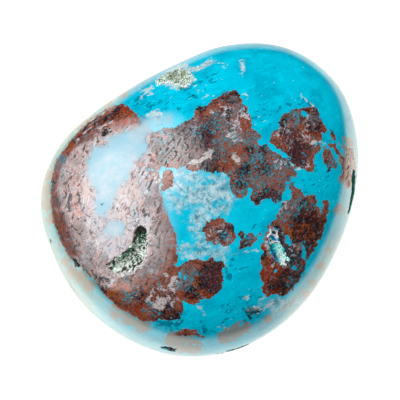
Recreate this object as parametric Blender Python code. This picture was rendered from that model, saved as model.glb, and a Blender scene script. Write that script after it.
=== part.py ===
# A tumbled chrysocolla pebble: one polished stone with open hollows, and the crystal crusts
# that line three of them.
# Metres, +Z up. The stone lies on its resting flat at z = 0, with the origin under its middle.
# The face that carries the crescent hollow looks up.
import math
import random

import bmesh
import bpy
from mathutils import Vector, noise

MM = 0.001

# Plan outline: distance from the upright axis to the widest line, every 20 degrees
# anticlockwise from +X.
OUTLINE_RADII = [
    r * MM
    for r in (15.4, 16.8, 18.0, 17.5, 15.7, 13.8, 13.2, 13.8, 15.2,
              16.0, 15.7, 15.7, 15.7, 15.8, 15.5, 15.0, 14.6, 14.6)
]
OUTLINE_STEP = 20.0
WIDEST_HEIGHT = 9.4 * MM
CROWN_HEIGHT = 10.6 * MM
BELLY_DEPTH = 9.8 * MM
FOOT_BLEND = 0.12 * MM

# How square the upright section is: rounder towards the bottom edge, tighter at the upper left.
SECTION_POWER = 2.45
SECTION_POWER_SWING = 0.3
SQUAREST_WAY = math.radians(140.0)

# Broad dents and swells left by tumbling, as a share of the distance from the middle.
SWELL_SHARE = 0.028
SWELL_FREQUENCY = 1.5
SWELL_SEED = Vector((3.1, 7.4, 1.9))

# A hollow is a chain of (x, y, half width) stations in millimetres, seen from above, with its
# depth and the width of its side wall. The side is 1 on the upper face and -1 on the lower.
HOLLOWS = {
    "crescent": {
        "stations": [(-5.85, -3.15, 0.6), (-5.9, -4.1, 0.7), (-6.15, -4.9, 0.85), (-6.6, -5.7, 1.0),
                     (-7.25, -6.2, 1.0), (-8.0, -6.5, 0.85), (-8.5, -6.65, 0.6)],
        "depth": 1.3, "wall": 0.3, "side": 1,
    },
    "blue": {
        "stations": [(7.55, -3.2, 0.65), (7.45, -3.9, 0.8), (7.65, -4.6, 0.9), (8.15, -5.3, 0.8),
                     (8.5, -5.9, 0.6)],
        "depth": 0.95, "wall": 0.3, "side": 1,
    },
    "shoulder": {
        "stations": [(-3.6, 12.0, 0.65), (-2.9, 12.3, 0.85), (-2.1, 12.4, 0.9), (-1.5, 11.9, 0.75)],
        "depth": 0.9, "wall": 0.3, "side": 1,
    },
    "shoulder_crack": {"stations": [(-1.2, 13.0, 0.2), (0.0, 13.3, 0.25), (1.1, 13.8, 0.2)],
                       "depth": 0.25, "wall": 0.2, "side": 1},
    "upper_pit": {"stations": [(-9.6, 6.6, 0.35), (-9.2, 6.75, 0.3)], "depth": 0.45, "wall": 0.3, "side": 1},
    "left_pit": {"stations": [(-12.35, -6.1, 0.42), (-12.15, -6.5, 0.4)], "depth": 0.6, "wall": 0.3, "side": 1},
    "grey_pit": {"stations": [(-9.7, -7.9, 0.35), (-9.2, -8.1, 0.4)], "depth": 0.35, "wall": 0.3, "side": 1},
    "right_notch": {"stations": [(15.3, 2.5, 0.5), (15.25, 0.6, 0.65), (14.9, -1.0, 0.4)],
                    "depth": 0.55, "wall": 0.4, "side": 1},
    "lower_dent": {"stations": [(4.9, -10.9, 0.4), (5.7, -11.2, 0.5)], "depth": 0.3, "wall": 0.45, "side": 1},
    "lower_pit": {"stations": [(-3.6, -15.0, 0.45), (-2.7, -15.25, 0.6)], "depth": 0.7, "wall": 0.35, "side": 1},
    "lower_groove": {"stations": [(2.9, -15.05, 0.3), (4.6, -14.5, 0.35)], "depth": 0.3, "wall": 0.3, "side": 1},
    "belly_pit": {"stations": [(5.2, 6.4, 0.7), (6.1, 7.3, 0.8), (7.3, 7.5, 0.5)],
                  "depth": 0.8, "wall": 0.4, "side": -1},
    "belly_dimple": {"stations": [(-8.4, -3.0, 0.6), (-9.1, -2.1, 0.45)], "depth": 0.5, "wall": 0.35, "side": -1},
}
RIM_WOBBLE = 0.1 * MM
RIM_WOBBLE_FREQUENCY = 1.1 / MM

# The stone's mesh: an icosphere whose triangles are halved near a hollow, and again nearer to it.
SPHERE_LEVEL = 5
REFINED_MARGINS = (0.75 * MM, 0.35 * MM)

# Crusts: crystals on a bed that keeps a gap to the hollow's floor and walls.
GAP = 0.3 * MM
WALL_SHARE = 0.5
NARROWEST_BED = 0.12 * MM
BED_THICKNESS = 0.25 * MM
BED_STEP = 0.3 * MM
BED_COLUMNS = 6
CRYSTAL_LEAN = 0.07 * MM
SHORTEST_CRYSTAL = 0.35
CRUSTS = {
    "crescent_crust": {"hollow": "crescent", "tallest": 0.45 * MM, "seed": 5, "finish": "green_crystals"},
    "blue_crust": {"hollow": "blue", "tallest": 0.24 * MM, "seed": 8, "finish": "blue_crystals"},
    "shoulder_crust": {"hollow": "shoulder", "tallest": 0.26 * MM, "seed": 11, "finish": "drab_crystals"},
}

# Base colour and roughness.
FINISHES = {
    "polished_stone": ((0.02, 0.42, 0.58), 0.12),
    "green_crystals": ((0.62, 0.74, 0.62), 0.4),
    "blue_crystals": ((0.45, 0.76, 0.84), 0.55),
    "drab_crystals": ((0.52, 0.56, 0.42), 0.6),
}


def clear_scene():
    for obj in list(bpy.data.objects):
        bpy.data.objects.remove(obj)


def make_material(name):
    colour, roughness = FINISHES[name]
    material = bpy.data.materials.new(name)
    material.use_nodes = True
    shader = material.node_tree.nodes["Principled BSDF"]
    shader.inputs["Base Color"].default_value = (*colour, 1.0)
    shader.inputs["Roughness"].default_value = roughness
    shader.inputs["Metallic"].default_value = 0.0
    return material


def add_object(name, bm, finish):
    bmesh.ops.triangulate(bm, faces=bm.faces[:])
    mesh = bpy.data.meshes.new(name)
    bm.to_mesh(mesh)
    bm.free()
    mesh.materials.append(make_material(finish))
    obj = bpy.data.objects.new(name, mesh)
    bpy.context.scene.collection.objects.link(obj)
    return obj


def outline_radius(angle):
    """The plan outline's radius at an angle: a smooth closed curve through OUTLINE_RADII."""
    place = (math.degrees(angle) % 360.0) / OUTLINE_STEP
    first = int(place)
    part = place - first
    before, here, after, beyond = (OUTLINE_RADII[(first + k) % len(OUTLINE_RADII)] for k in (-1, 0, 1, 2))
    return 0.5 * (
        2 * here
        + (after - before) * part
        + (2 * before - 5 * here + 4 * after - beyond) * part ** 2
        + (3 * here - before - 3 * after + beyond) * part ** 3
    )


def pebble_point(direction):
    """Where the bare pebble's surface, with no foot or hollows, meets a ray from its middle."""
    way = direction.normalized()
    across = math.hypot(way.x, way.y)
    angle = math.atan2(way.y, way.x)
    height = CROWN_HEIGHT if way.z > 0 else BELLY_DEPTH
    power = SECTION_POWER + SECTION_POWER_SWING * math.cos(angle - SQUAREST_WAY) * across
    reach = ((across / outline_radius(angle)) ** power + (abs(way.z) / height) ** power) ** (-1 / power)
    swell = SWELL_SHARE * noise.noise(way * SWELL_FREQUENCY + SWELL_SEED)
    reach *= 1 + swell * way.z * way.z
    return way * reach + Vector((0, 0, WIDEST_HEIGHT))


def surface_normal(point):
    """The bare pebble's outward normal at a surface point, from small steps to its sides."""
    way = (point - Vector((0, 0, WIDEST_HEIGHT))).normalized()
    side = way.orthogonal().normalized()
    other = way.cross(side)
    step = 0.01
    first = pebble_point(way + side * step) - pebble_point(way - side * step)
    second = pebble_point(way + other * step) - pebble_point(way - other * step)
    return first.cross(second).normalized()


def rest_on_foot(point):
    """Raises what would reach below the resting surface, with a soft edge around the flat."""
    near = max(FOOT_BLEND - abs(point.z), 0.0)
    return Vector((point.x, point.y, max(point.z, 0.0) + near * near / (4 * FOOT_BLEND)))


def on_surface(x, y, side):
    """The pebble's surface point above (side 1) or below (side -1) a place in the plan."""
    angle = math.atan2(y, x)
    low, high = 0.0, math.pi / 2
    for _ in range(40):
        rise = (low + high) / 2
        across = math.cos(rise)
        point = pebble_point(Vector((math.cos(angle) * across, math.sin(angle) * across, side * math.sin(rise))))
        if math.hypot(point.x, point.y) > math.hypot(x, y):
            low = rise
        else:
            high = rise
    return point


def hollow_chain(hollow):
    """The hollow's stations as (surface point, half width), in metres."""
    return [(on_surface(x * MM, y * MM, hollow["side"]), wide * MM) for x, y, wide in hollow["stations"]]


def inside_hollow(point, chain):
    """How far a point lies inside the hollow's rim. It is negative outside."""
    deepest = -math.inf
    for (start, start_width), (end, end_width) in zip(chain, chain[1:]):
        run = end - start
        along = min(max((point - start).dot(run) / run.length_squared, 0.0), 1.0)
        inside = start_width + (end_width - start_width) * along - (point - start - run * along).length
        deepest = max(deepest, inside)
    return deepest + RIM_WOBBLE * noise.noise(point * RIM_WOBBLE_FREQUENCY)


def hollow_depth(point, chains):
    depth = 0.0
    for name, chain in chains.items():
        share = inside_hollow(point, chain) / (HOLLOWS[name]["wall"] * MM)
        share = min(max(share, 0.0), 1.0)
        depth = max(depth, HOLLOWS[name]["depth"] * MM * share * share * (3 - 2 * share))
    return depth


def refined_sphere(chains):
    """A unit icosphere with smaller triangles where the hollows will be."""
    bm = bmesh.new()
    bmesh.ops.create_icosphere(bm, subdivisions=SPHERE_LEVEL, radius=1.0)
    for margin in REFINED_MARGINS:
        near = []
        for edge in bm.edges:
            middle = pebble_point((edge.verts[0].co + edge.verts[1].co) / 2)
            if max(inside_hollow(middle, chain) for chain in chains.values()) > -margin:
                near.append(edge)
        bmesh.ops.subdivide_edges(bm, edges=near, cuts=1, use_grid_fill=True)
        bmesh.ops.triangulate(bm, faces=bm.faces[:])
    return bm


def build_stone(chains):
    bm = refined_sphere(chains)
    for vert in bm.verts:
        point = pebble_point(vert.co)
        depth = hollow_depth(point, chains)
        if depth > 0:
            point -= surface_normal(point) * depth
        vert.co = rest_on_foot(point)
    stone = add_object("stone", bm, "polished_stone")
    stone.data.shade_smooth()
    stone.data.set_sharp_from_angle(angle=math.radians(40.0))


def along_chain(chain):
    """Places along a hollow's chain, as (point, half width, way along)."""
    found = []
    for (start, start_width), (end, end_width) in zip(chain, chain[1:]):
        run = end - start
        count = max(1, round(run.length / BED_STEP))
        for k in range(count):
            share = k / count
            width = start_width + (end_width - start_width) * share
            found.append((start.lerp(end, share), width, run.normalized()))
    found.append((*chain[-1], found[-1][2]))
    return found


def bed_row(bm, hollow, place):
    """The bed's cross-section at one place: its upper corners, then its lower ones back."""
    point, width, way = place
    up = surface_normal(point)
    across = way.cross(up).normalized()
    half = max(width - hollow["wall"] * MM * WALL_SHARE - GAP, NARROWEST_BED)
    offsets = [half * (2 * k / (BED_COLUMNS - 1) - 1) for k in range(BED_COLUMNS)]
    floor = point - up * (hollow["depth"] * MM - GAP)
    top = [bm.verts.new(floor + across * at + up * BED_THICKNESS) for at in offsets]
    base = [bm.verts.new(floor + across * at) for at in reversed(offsets)]
    return top + base


def build_crust(name, chain):
    """A bed swept along the hollow's floor, with each of its upper faces raised into a crystal."""
    crust = CRUSTS[name]
    hollow = HOLLOWS[crust["hollow"]]
    dice = random.Random(crust["seed"])
    bm = bmesh.new()
    rows = [bed_row(bm, hollow, place) for place in along_chain(chain)]
    upper = []
    for first, second in zip(rows, rows[1:]):
        for k in range(len(first)):
            after = (k + 1) % len(first)
            face = bm.faces.new((first[k], first[after], second[after], second[k]))
            if k < BED_COLUMNS - 1:
                upper.append(face)
    bm.faces.new(rows[0][::-1])
    bm.faces.new(rows[-1])
    bmesh.ops.recalc_face_normals(bm, faces=bm.faces[:])
    for face in upper:
        tip = bmesh.ops.poke(bm, faces=[face])["verts"][0]
        height = crust["tallest"] * dice.uniform(SHORTEST_CRYSTAL, 1.0)
        lean = Vector((dice.uniform(-1, 1), dice.uniform(-1, 1), 0)) * CRYSTAL_LEAN
        tip.co += surface_normal(tip.co) * height + lean
    add_object(name, bm, crust["finish"])


def main():
    clear_scene()
    chains = {name: hollow_chain(hollow) for name, hollow in HOLLOWS.items()}
    build_stone(chains)
    for name, crust in CRUSTS.items():
        build_crust(name, chains[crust["hollow"]])


main()
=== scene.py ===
# A tumbled chrysocolla pebble lying on a pale table, seen from straight above.
import math
import random

import bmesh
import bpy
import numpy as np
from mathutils import Matrix, Vector, noise


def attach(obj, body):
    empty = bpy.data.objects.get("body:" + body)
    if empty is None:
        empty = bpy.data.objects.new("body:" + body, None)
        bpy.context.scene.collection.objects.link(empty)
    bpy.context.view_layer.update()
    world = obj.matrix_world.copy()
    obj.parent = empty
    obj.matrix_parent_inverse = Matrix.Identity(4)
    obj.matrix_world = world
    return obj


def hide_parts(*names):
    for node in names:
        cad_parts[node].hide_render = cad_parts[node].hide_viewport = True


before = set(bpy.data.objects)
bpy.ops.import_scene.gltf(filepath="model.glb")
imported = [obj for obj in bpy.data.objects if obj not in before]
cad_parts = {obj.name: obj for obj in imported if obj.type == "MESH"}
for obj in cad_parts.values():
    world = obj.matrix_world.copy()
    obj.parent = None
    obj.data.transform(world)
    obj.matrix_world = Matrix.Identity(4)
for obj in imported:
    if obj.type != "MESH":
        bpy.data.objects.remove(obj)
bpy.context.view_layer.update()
mm = 0.001


# Shape of the pebble, in millimetres. These are the solid's own sizes.
pebble = {
    # distance from the upright axis to the widest line, every 20 degrees anticlockwise from +X
    "outlineRadii": (15.4, 16.8, 18.0, 17.5, 15.7, 13.8, 13.2, 13.8, 15.2,
                     16.0, 15.7, 15.7, 15.7, 15.8, 15.5, 15.0, 14.6, 14.6),
    "outlineStep": 20.0,
    "widestHeight": 9.4,
    "crownHeight": 10.6,
    "bellyDepth": 9.8,
    "footBlend": 0.12,
    "sectionPower": 2.45,              # how square the upright section is
    "sectionPowerSwing": 0.3,
    "squarestWay": math.radians(140),
    "swellShare": 0.028,               # broad dents and swells, as a share of the distance
    "swellFrequency": 1.5,
    "swellSeed": Vector((3.1, 7.4, 1.9)),
    "sphereLevel": 7,                  # triangles of the skin before it is refined
    "refinedMargins": (0.55, 0.3),     # how far round a hollow each halving reaches
    "floorLumps": 0.09,                # unevenness inside the hollows
}

# A hollow is a chain of (x, y, half width) stations seen from above, with its depth and the width of its side
# wall. Side is 1 on the upper face and -1 on the lower. Its lip is how pale the rim is, and lipWay the
# compass direction in which it is palest; this pale lip is partly a painted highlight on the rounded rim.
hollows = {
    "crescent": {"stations": [(-5.85, -3.15, 0.6), (-5.9, -4.1, 0.7), (-6.15, -4.9, 0.85), (-6.6, -5.7, 1.0),
                              (-7.25, -6.2, 1.0), (-8.0, -6.5, 0.85), (-8.5, -6.65, 0.6)],
                 "depth": 1.3, "wall": 0.3, "side": 1, "lip": 1.0, "lipWay": -25, "colour": (58, 56, 44)},
    "blue": {"stations": [(7.55, -3.2, 0.65), (7.45, -3.9, 0.8), (7.65, -4.6, 0.9), (8.15, -5.3, 0.8),
                          (8.5, -5.9, 0.6)],
             "depth": 0.8, "wall": 0.3, "side": 1, "lip": 0.45, "lipWay": 200, "colour": (44, 38, 46)},
    "shoulder": {"stations": [(-3.6, 12.0, 0.65), (-2.9, 12.3, 0.85), (-2.1, 12.4, 0.9), (-1.5, 11.9, 0.75)],
                 "depth": 0.5, "wall": 0.4, "side": 1, "lip": 0.4, "lipWay": 260, "colour": (146, 158, 132)},
    "shoulderCrack": {"stations": [(-1.2, 13.0, 0.2), (0.0, 13.3, 0.25), (1.1, 13.8, 0.2)],
                      "depth": 0.25, "wall": 0.2, "side": 1, "lip": 0.5, "lipWay": 280,
                      "colour": (128, 142, 140), "cover": 0.55},
    "upperPit": {"stations": [(-9.65, 6.5, 0.28), (-9.4, 6.7, 0.4), (-9.05, 6.8, 0.22)],
                 "depth": 0.45, "wall": 0.3, "side": 1, "lip": 0.5, "lipWay": -20, "colour": (38, 42, 40)},
    "leftPit": {"stations": [(-12.45, -6.05, 0.32), (-12.25, -6.5, 0.38)],
                "depth": 0.6, "wall": 0.3, "side": 1, "lip": 0.9, "lipWay": 20, "colour": (50, 42, 44)},
    "greyPit": {"stations": [(-9.7, -7.9, 0.35), (-9.2, -8.1, 0.4)],
                "depth": 0.35, "wall": 0.3, "side": 1, "lip": 0.8, "lipWay": 0,
                "colour": (92, 90, 94), "cover": 0.65},
    "rightNotch": {"stations": [(15.3, 2.5, 0.5), (15.25, 0.6, 0.65), (14.9, -1.0, 0.4)],
                   "depth": 0.55, "wall": 0.4, "side": 1, "lip": 0.6, "lipWay": 180, "colour": (0, 112, 96)},
    "lowerDent": {"stations": [(4.9, -10.9, 0.4), (5.7, -11.2, 0.5)],
                  "depth": 0.3, "wall": 0.45, "side": 1, "lip": 0.0, "lipWay": 0,
                  "colour": (10, 62, 70), "cover": 0.5},
    "lowerPit": {"stations": [(-3.5, -14.75, 0.4), (-2.8, -14.9, 0.5)],
                 "depth": 0.7, "wall": 0.35, "side": 1, "lip": 0.4, "lipWay": 90, "colour": (92, 70, 52)},
    "lowerGroove": {"stations": [(2.9, -15.05, 0.3), (4.6, -14.5, 0.35)],
                    "depth": 0.3, "wall": 0.3, "side": 1, "lip": 0.0, "lipWay": 0, "colour": (52, 74, 60)},
    "bellyPit": {"stations": [(5.2, 6.4, 0.7), (6.1, 7.3, 0.8), (7.3, 7.5, 0.5)],
                 "depth": 0.8, "wall": 0.4, "side": -1, "lip": 0.6, "lipWay": 0, "colour": (84, 86, 66)},
    "bellyDimple": {"stations": [(-8.4, -3.0, 0.6), (-9.1, -2.1, 0.45)],
                    "depth": 0.5, "wall": 0.35, "side": -1, "lip": 0.4, "lipWay": 90, "colour": (74, 58, 50)},
}
rimWobble = 0.2
rimWobbleFrequency = 2.8


def outlineRadius(angle):
    radii = pebble["outlineRadii"]
    place = (math.degrees(angle) % 360.0) / pebble["outlineStep"]
    first = int(place)
    part = place - first
    before, here, after, beyond = (radii[(first + k) % len(radii)] for k in (-1, 0, 1, 2))
    return 0.5 * (2 * here + (after - before) * part
                  + (2 * before - 5 * here + 4 * after - beyond) * part ** 2
                  + (3 * here - before - 3 * after + beyond) * part ** 3)


def pebblePoint(direction):
    way = direction.normalized()
    across = math.hypot(way.x, way.y)
    angle = math.atan2(way.y, way.x)
    height = pebble["crownHeight"] if way.z > 0 else pebble["bellyDepth"]
    swing = pebble["sectionPowerSwing"] * math.cos(angle - pebble["squarestWay"]) * across
    power = pebble["sectionPower"] + swing
    reach = ((across / outlineRadius(angle)) ** power + (abs(way.z) / height) ** power) ** (-1 / power)
    swell = pebble["swellShare"] * noise.noise(way * pebble["swellFrequency"] + pebble["swellSeed"])
    reach *= 1 + swell * way.z * way.z
    return way * reach + Vector((0, 0, pebble["widestHeight"]))


def surfaceNormal(point):
    way = (point - Vector((0, 0, pebble["widestHeight"]))).normalized()
    side = way.orthogonal().normalized()
    other = way.cross(side)
    step = 0.01
    first = pebblePoint(way + side * step) - pebblePoint(way - side * step)
    second = pebblePoint(way + other * step) - pebblePoint(way - other * step)
    return first.cross(second).normalized()


def restOnFoot(point):
    blend = pebble["footBlend"]
    near = max(blend - abs(point.z), 0.0)
    return Vector((point.x, point.y, max(point.z, 0.0) + near * near / (4 * blend)))


def onSurface(x, y, side=1):
    angle = math.atan2(y, x)
    low, high = 0.0, math.pi / 2
    for _ in range(40):
        rise = (low + high) / 2
        across = math.cos(rise)
        way = Vector((math.cos(angle) * across, math.sin(angle) * across, side * math.sin(rise)))
        point = pebblePoint(way)
        if math.hypot(point.x, point.y) > math.hypot(x, y):
            low = rise
        else:
            high = rise
    return point


for hollow in hollows.values():
    hollow["chain"] = [(onSurface(x, y, hollow["side"]), wide) for x, y, wide in hollow["stations"]]
    hollow["middle"] = sum((point for point, wide in hollow["chain"]), Vector()) / len(hollow["chain"])
    hollow["reach"] = max((point - hollow["middle"]).length + wide for point, wide in hollow["chain"]) + 1


def nearestInHollow(point, hollow):             # millimetres inside the rim, and the way from the chain
    if (point - hollow["middle"]).length > hollow["reach"]:
        return -1.0, Vector()
    chain = hollow["chain"]
    deepest, way = -1.0, Vector()
    for (start, startWidth), (end, endWidth) in zip(chain, chain[1:]):
        run = end - start
        along = min(max((point - start).dot(run) / run.length_squared, 0.0), 1.0)
        away = point - start - run * along
        inside = startWidth + (endWidth - startWidth) * along - away.length
        if inside > deepest:
            deepest, way = inside, away
    return deepest + rimWobble * noise.noise(point * rimWobbleFrequency), way


def insideHollow(point, hollow):
    return nearestInHollow(point, hollow)[0]


def hollowDepth(point):
    depth = 0.0
    for hollow in hollows.values():
        share = min(max(insideHollow(point, hollow) / hollow["wall"], 0.0), 1.0)
        depth = max(depth, hollow["depth"] * share * share * (3 - 2 * share))
    return depth


# Markings on the upper face. Places are in tenths of a millimetre from the stone's middle,
# x to the right and y to the top. An outline is a closed line of corners.
rustOutlines = {
    "great": [(37, 110), (40, 101), (47, 92), (48, 87), (52, 76), (51, 70), (60, 66), (62, 63), (58, 58),
        (56, 57), (59, 54), (67, 55), (70, 50), (77, 46), (85, 42), (94, 31), (97, 26), (90, 21), (85, 16),
        (84, 8), (79, -1), (73, -5), (70, 1), (64, 1), (59, -4), (55, -5), (50, -2), (49, 2), (52, 10),
        (48, 11), (47, 4), (40, 1), (34, 3), (30, 12), (29, 23), (25, 28), (14, 27), (0, 29), (-10, 29),
        (-17, 32), (-25, 31), (-35, 32), (-48, 29), (-60, 30), (-66, 35), (-60, 42), (-53, 48), (-51, 53),
        (-54, 57), (-54, 62), (-50, 67), (-45, 67), (-40, 70), (-32, 73), (-24, 71), (-14, 78), (-8, 81),
        (-4, 83), (-6, 86), (-3, 92), (1, 94), (7, 93), (13, 100), (24, 106), (30, 108)],
    "left": [(-79, 97), (-66, 89), (-57, 78), (-62, 71), (-80, 66), (-91, 60), (-92, 53), (-104, 52),
        (-112, 40), (-112, 26), (-103, 12), (-102, -5), (-96, -17), (-88, -6), (-82, 10), (-72, 20),
        (-66, 33), (-50, 30), (-40, 28), (-40, 12), (-34, -12), (-27, -26), (-23, -40), (-22, -55),
        (-24, -64), (-20, -75), (-19, -102), (-16, -108), (-20, -117), (-28, -121), (-40, -119),
        (-56, -121), (-69, -114), (-84, -104), (-97, -92), (-107, -77), (-119, -66), (-132, -54),
        (-140, -38), (-146, -20), (-149, 0), (-148, 20), (-145, 36), (-139, 46), (-131, 56), (-124, 66),
        (-112, 80), (-96, 89)],
    "lowerRidge": [(-26, -132), (-16, -128), (-8, -127), (6, -136), (2, -138), (-12, -134), (-24, -136)],
    "upperRight": [(77, 78), (80, 82), (85, 87), (91, 90), (98, 91), (109, 92), (116, 91), (118, 86),
        (121, 80), (122, 74), (126, 71), (125, 67), (121, 66), (122, 61), (119, 58), (121, 53), (119, 48),
        (114, 45), (113, 40), (114, 27), (106, 29), (95, 33), (91, 38), (88, 43), (83, 47), (77, 51),
        (71, 54), (68, 58), (71, 66), (75, 70), (78, 73)],
    "sliver": [(129, 72), (131, 71), (133, 66), (136, 62), (135, 59), (132, 60), (130, 65)],
    "edgeSliver": [(129, 58), (133, 56), (138, 51), (141, 44), (144, 42), (141, 40), (137, 46), (133, 50),
        (129, 53)],
    "rightIsland": [(124, 53), (128, 53), (131, 47), (133, 42), (136, 40), (136, 33), (134, 30), (130, 32),
        (129, 28), (125, 27), (125, 34), (123, 38), (121, 42), (122, 47)],
    "rightEdge": [(141, 35), (144, 40), (146, 52), (154, 50), (156, 20), (148, 12), (145, 16), (141, 22)],
    "lowerRight": [(76, -14), (80, -7), (81, 0), (88, 0), (91, 2), (90, 10), (87, 14), (88, 18), (93, 18),
        (95, 13), (100, 9), (104, 4), (109, 5), (113, 4), (116, 1), (116, -5), (120, -14), (123, -1),
        (127, 1), (129, -3), (128, -11), (126, -21), (123, -31), (118, -41), (114, -50), (109, -58),
        (104, -63), (103, -70), (99, -79), (92, -89), (86, -94), (80, -96), (74, -93), (68, -96), (63, -92),
        (60, -88), (63, -83), (60, -77), (58, -72), (61, -68), (60, -58), (62, -51), (60, -46), (63, -38),
        (66, -29), (70, -22), (76, -19)],
    "shark": [(37, -33), (40, -29), (43, -31), (44, -37), (47, -34), (52, -32), (55, -35), (59, -32),
        (60, -34), (57, -38), (54, -42), (50, -46), (45, -48), (40, -49), (39, -43), (40, -38)],
    "middle": [(3, -29), (6, -22), (13, -19), (19, -17), (23, -19), (26, -24), (29, -22), (33, -23),
        (35, -28), (36, -35), (34, -41), (31, -44), (26, -46), (20, -45), (13, -44), (7, -42), (5, -36)],
    "block": [(-24, -66), (-19, -64), (-14, -60), (-8, -59), (-1, -58), (6, -59), (11, -58), (17, -60),
        (22, -60), (24, -63), (23, -69), (24, -77), (22, -83), (21, -88), (17, -94), (12, -97), (7, -98),
        (1, -98), (0, -102), (-6, -104), (-12, -103), (-17, -100), (-22, -104)],
    "rhomb": [(-36, 30), (-30, 30), (-26, 28), (-26, 17), (-29, 12), (-34, 10), (-39, 9), (-38, 19)],
}
# turquoise that shows through the rust-red rock
rustWindows = {
    "paleWindow": [(-57, 78), (-53, 69), (-54, 57), (-58, 48), (-64, 40), (-68, 32), (-72, 24), (-74, 18),
        (-82, 10), (-87, 2), (-90, -8), (-96, -16), (-102, -14), (-103, -5), (-101, 5), (-103, 12),
        (-110, 20), (-112, 28), (-112, 38), (-102, 44), (-105, 52), (-96, 53), (-88, 54), (-84, 60),
        (-75, 68), (-64, 71)],
    "leftBlue": [(-98, -33), (-90, -22), (-76, -22), (-73, -27), (-77, -34), (-86, -37)],
    "blockLeft": [(-21, -70), (-19, -70), (-19, -80), (-21, -80)],
    "blockNotch": [(-16, -76), (-13, -75), (-12, -79), (-15, -80)],
    "ovalSide": [(102, 89), (106, 88), (107, 85), (104, 82), (101, 84)],
    "spur": [(114, 58), (118, 58), (118, 55), (114, 54)],
    "hookA": [(84, -34), (88, -38), (91, -43), (89, -45), (85, -40)],
    "hookB": [(103, -43), (106, -50), (104, -60), (101, -58), (102, -50)],
    "hookC": [(73, -68), (75, -68), (76, -71), (74, -72)],
    "hookD": [(92, -65), (95, -65), (95, -70), (92, -70)],
}
# white and cream stains
paleOutlines = {
    "leftWhite": [(-43, -100), (-38, -96), (-32, -98), (-34, -103), (-36, -109), (-42, -109), (-47, -105)],
    "upperWhite": [(-55, 83), (-51, 87), (-47, 89), (-41, 89), (-37, 87), (-38, 84), (-44, 83), (-50, 82)],
    "creamVein": [(-13, 38), (-8, 40), (-3, 40), (2, 43), (5, 47), (8, 49), (13, 52), (15, 50), (12, 44),
        (11, 40), (4, 39), (-1, 36), (-3, 32), (-4, 34), (-7, 35), (-11, 35)],
    "eye": [(29, 44), (33, 47), (37, 44), (41, 40), (40, 36), (36, 36), (32, 40)],
    "creamSpot": [(26, 63), (29, 66), (34, 68), (37, 66), (33, 62), (28, 61)],
    "rightBand": [(103, 59), (108, 58), (114, 60), (118, 59), (114, 56), (108, 55)],
    "leftTriangle": [(-106, -38), (-101, -38), (-99, -43), (-101, -47)],
    "shoulderRidge": [(-44, 119), (-40, 122), (-34, 128), (-22, 135), (-13, 137), (-12, 132), (-6, 132),
        (4, 136), (12, 141), (13, 137), (6, 132), (-2, 129), (-9, 127), (-11, 118), (-18, 111), (-30, 113),
        (-34, 116)],
}
outlines = {
    # cloudy quartz
    "quartz": {
        "cloud": [(-30, 26), (-20, 30), (-10, 28), (5, 26), (14, 24), (25, 26), (29, 20), (30, 10), (33, 2),
            (28, -4), (26, -12), (18, -17), (6, -22), (3, -30), (4, -38), (-3, -37), (-8, -30), (-10, -20),
            (-12, -8), (-20, 4), (-26, 10)],
        "veil": [(-47, 28), (-30, 30), (-24, 14), (-14, -6), (-22, -12), (-34, 4), (-40, 14)],
        "band": [(-20, -48), (-12, -46), (0, -43), (8, -43), (16, -47), (26, -49), (28, -54), (25, -61),
            (22, -59), (16, -60), (9, -57), (0, -55), (-10, -56), (-17, -58)],
        "lowerRight": [(66, -97), (75, -96), (83, -97), (94, -99), (94, -108), (84, -111), (75, -110),
            (66, -108)],
    },
    # the left part, where the lamp is mirrored: rock and turquoise get greyed, washed-out tones there, a
    # painted veil of the lamp's reflection over their own markings
    "bleached": {
        "left": [(-141, 30), (-133, 46), (-121, 58), (-102, 69), (-88, 74), (-74, 80), (-60, 81), (-50, 70),
            (-44, 50), (-44, 38), (-48, 34), (-42, 12), (-36, -4), (-30, -20), (-28, -40), (-32, -60),
            (-42, -70), (-52, -76), (-66, -74), (-82, -77), (-98, -73), (-110, -68), (-123, -57),
            (-133, -42), (-140, -20), (-144, 0), (-144, 20)],
    },
    # inside it: smooth pink, smooth blue-white, and worm-like ribbons
    "blush": {
        "upper": [(-81, 19), (-67, 23), (-59, 15), (-56, 3), (-57, -7), (-65, -9), (-73, -7), (-81, 1),
            (-86, 3), (-85, 11)],
        "ring": [(-87, 0), (-82, 0), (-78, -7), (-72, -9), (-68, -15), (-63, -15), (-66, -21), (-75, -24),
            (-82, -22), (-87, -13)],
        "leftBand": [(-119, 24), (-109, 21), (-102, 9), (-107, -3), (-115, -7), (-119, 4)],
        "upperPatch": [(-98, 59), (-90, 62), (-84, 58), (-88, 51), (-97, 52)],
        "wedgeFoot": [(-88, 77), (-72, 83), (-60, 82), (-56, 76), (-68, 70), (-84, 66)],
        "besideCrescent": [(-72, -38), (-66, -33), (-65, -42), (-70, -50)],
    },
    "frost": {
        "shell": [(-111, -5), (-103, 4), (-91, 10), (-83, 8), (-86, 0), (-87, -10), (-84, -19), (-91, -22),
            (-98, -32), (-105, -36), (-111, -28), (-113, -16)],
        "lowShell": [(-98, -33), (-81, -33), (-68, -32), (-65, -40), (-69, -50), (-79, -56), (-91, -58),
            (-99, -50), (-105, -40)],
        "fold": [(-58, -22), (-53, -18), (-52, -40), (-54, -56), (-57, -46)],
    },
    "ribbon": {
        "left": [(-145, 31), (-137, 49), (-124, 61), (-109, 71), (-89, 79), (-74, 75), (-87, 63),
            (-101, 59), (-111, 49), (-115, 34), (-113, 19), (-117, 0), (-115, -25), (-113, -50),
            (-121, -62), (-133, -50), (-141, -30), (-146, 0)],
        "low": [(-116, -50), (-100, -52), (-94, -62), (-98, -72), (-108, -70)],
        "foldSide": [(-50, -12), (-40, -8), (-32, -24), (-28, -44), (-30, -64), (-40, -70), (-50, -62),
            (-46, -40)],
    },
    # smooth dark grey slabs in the rust-red rock
    "slab": {
        "right": [(105, 78), (107, 84), (112, 87), (118, 85), (121, 79), (118, 75), (110, 73)],
        "greatTop": [(25, 97), (28, 103), (37, 104), (39, 99), (34, 95), (27, 94)],
    },
}

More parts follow.
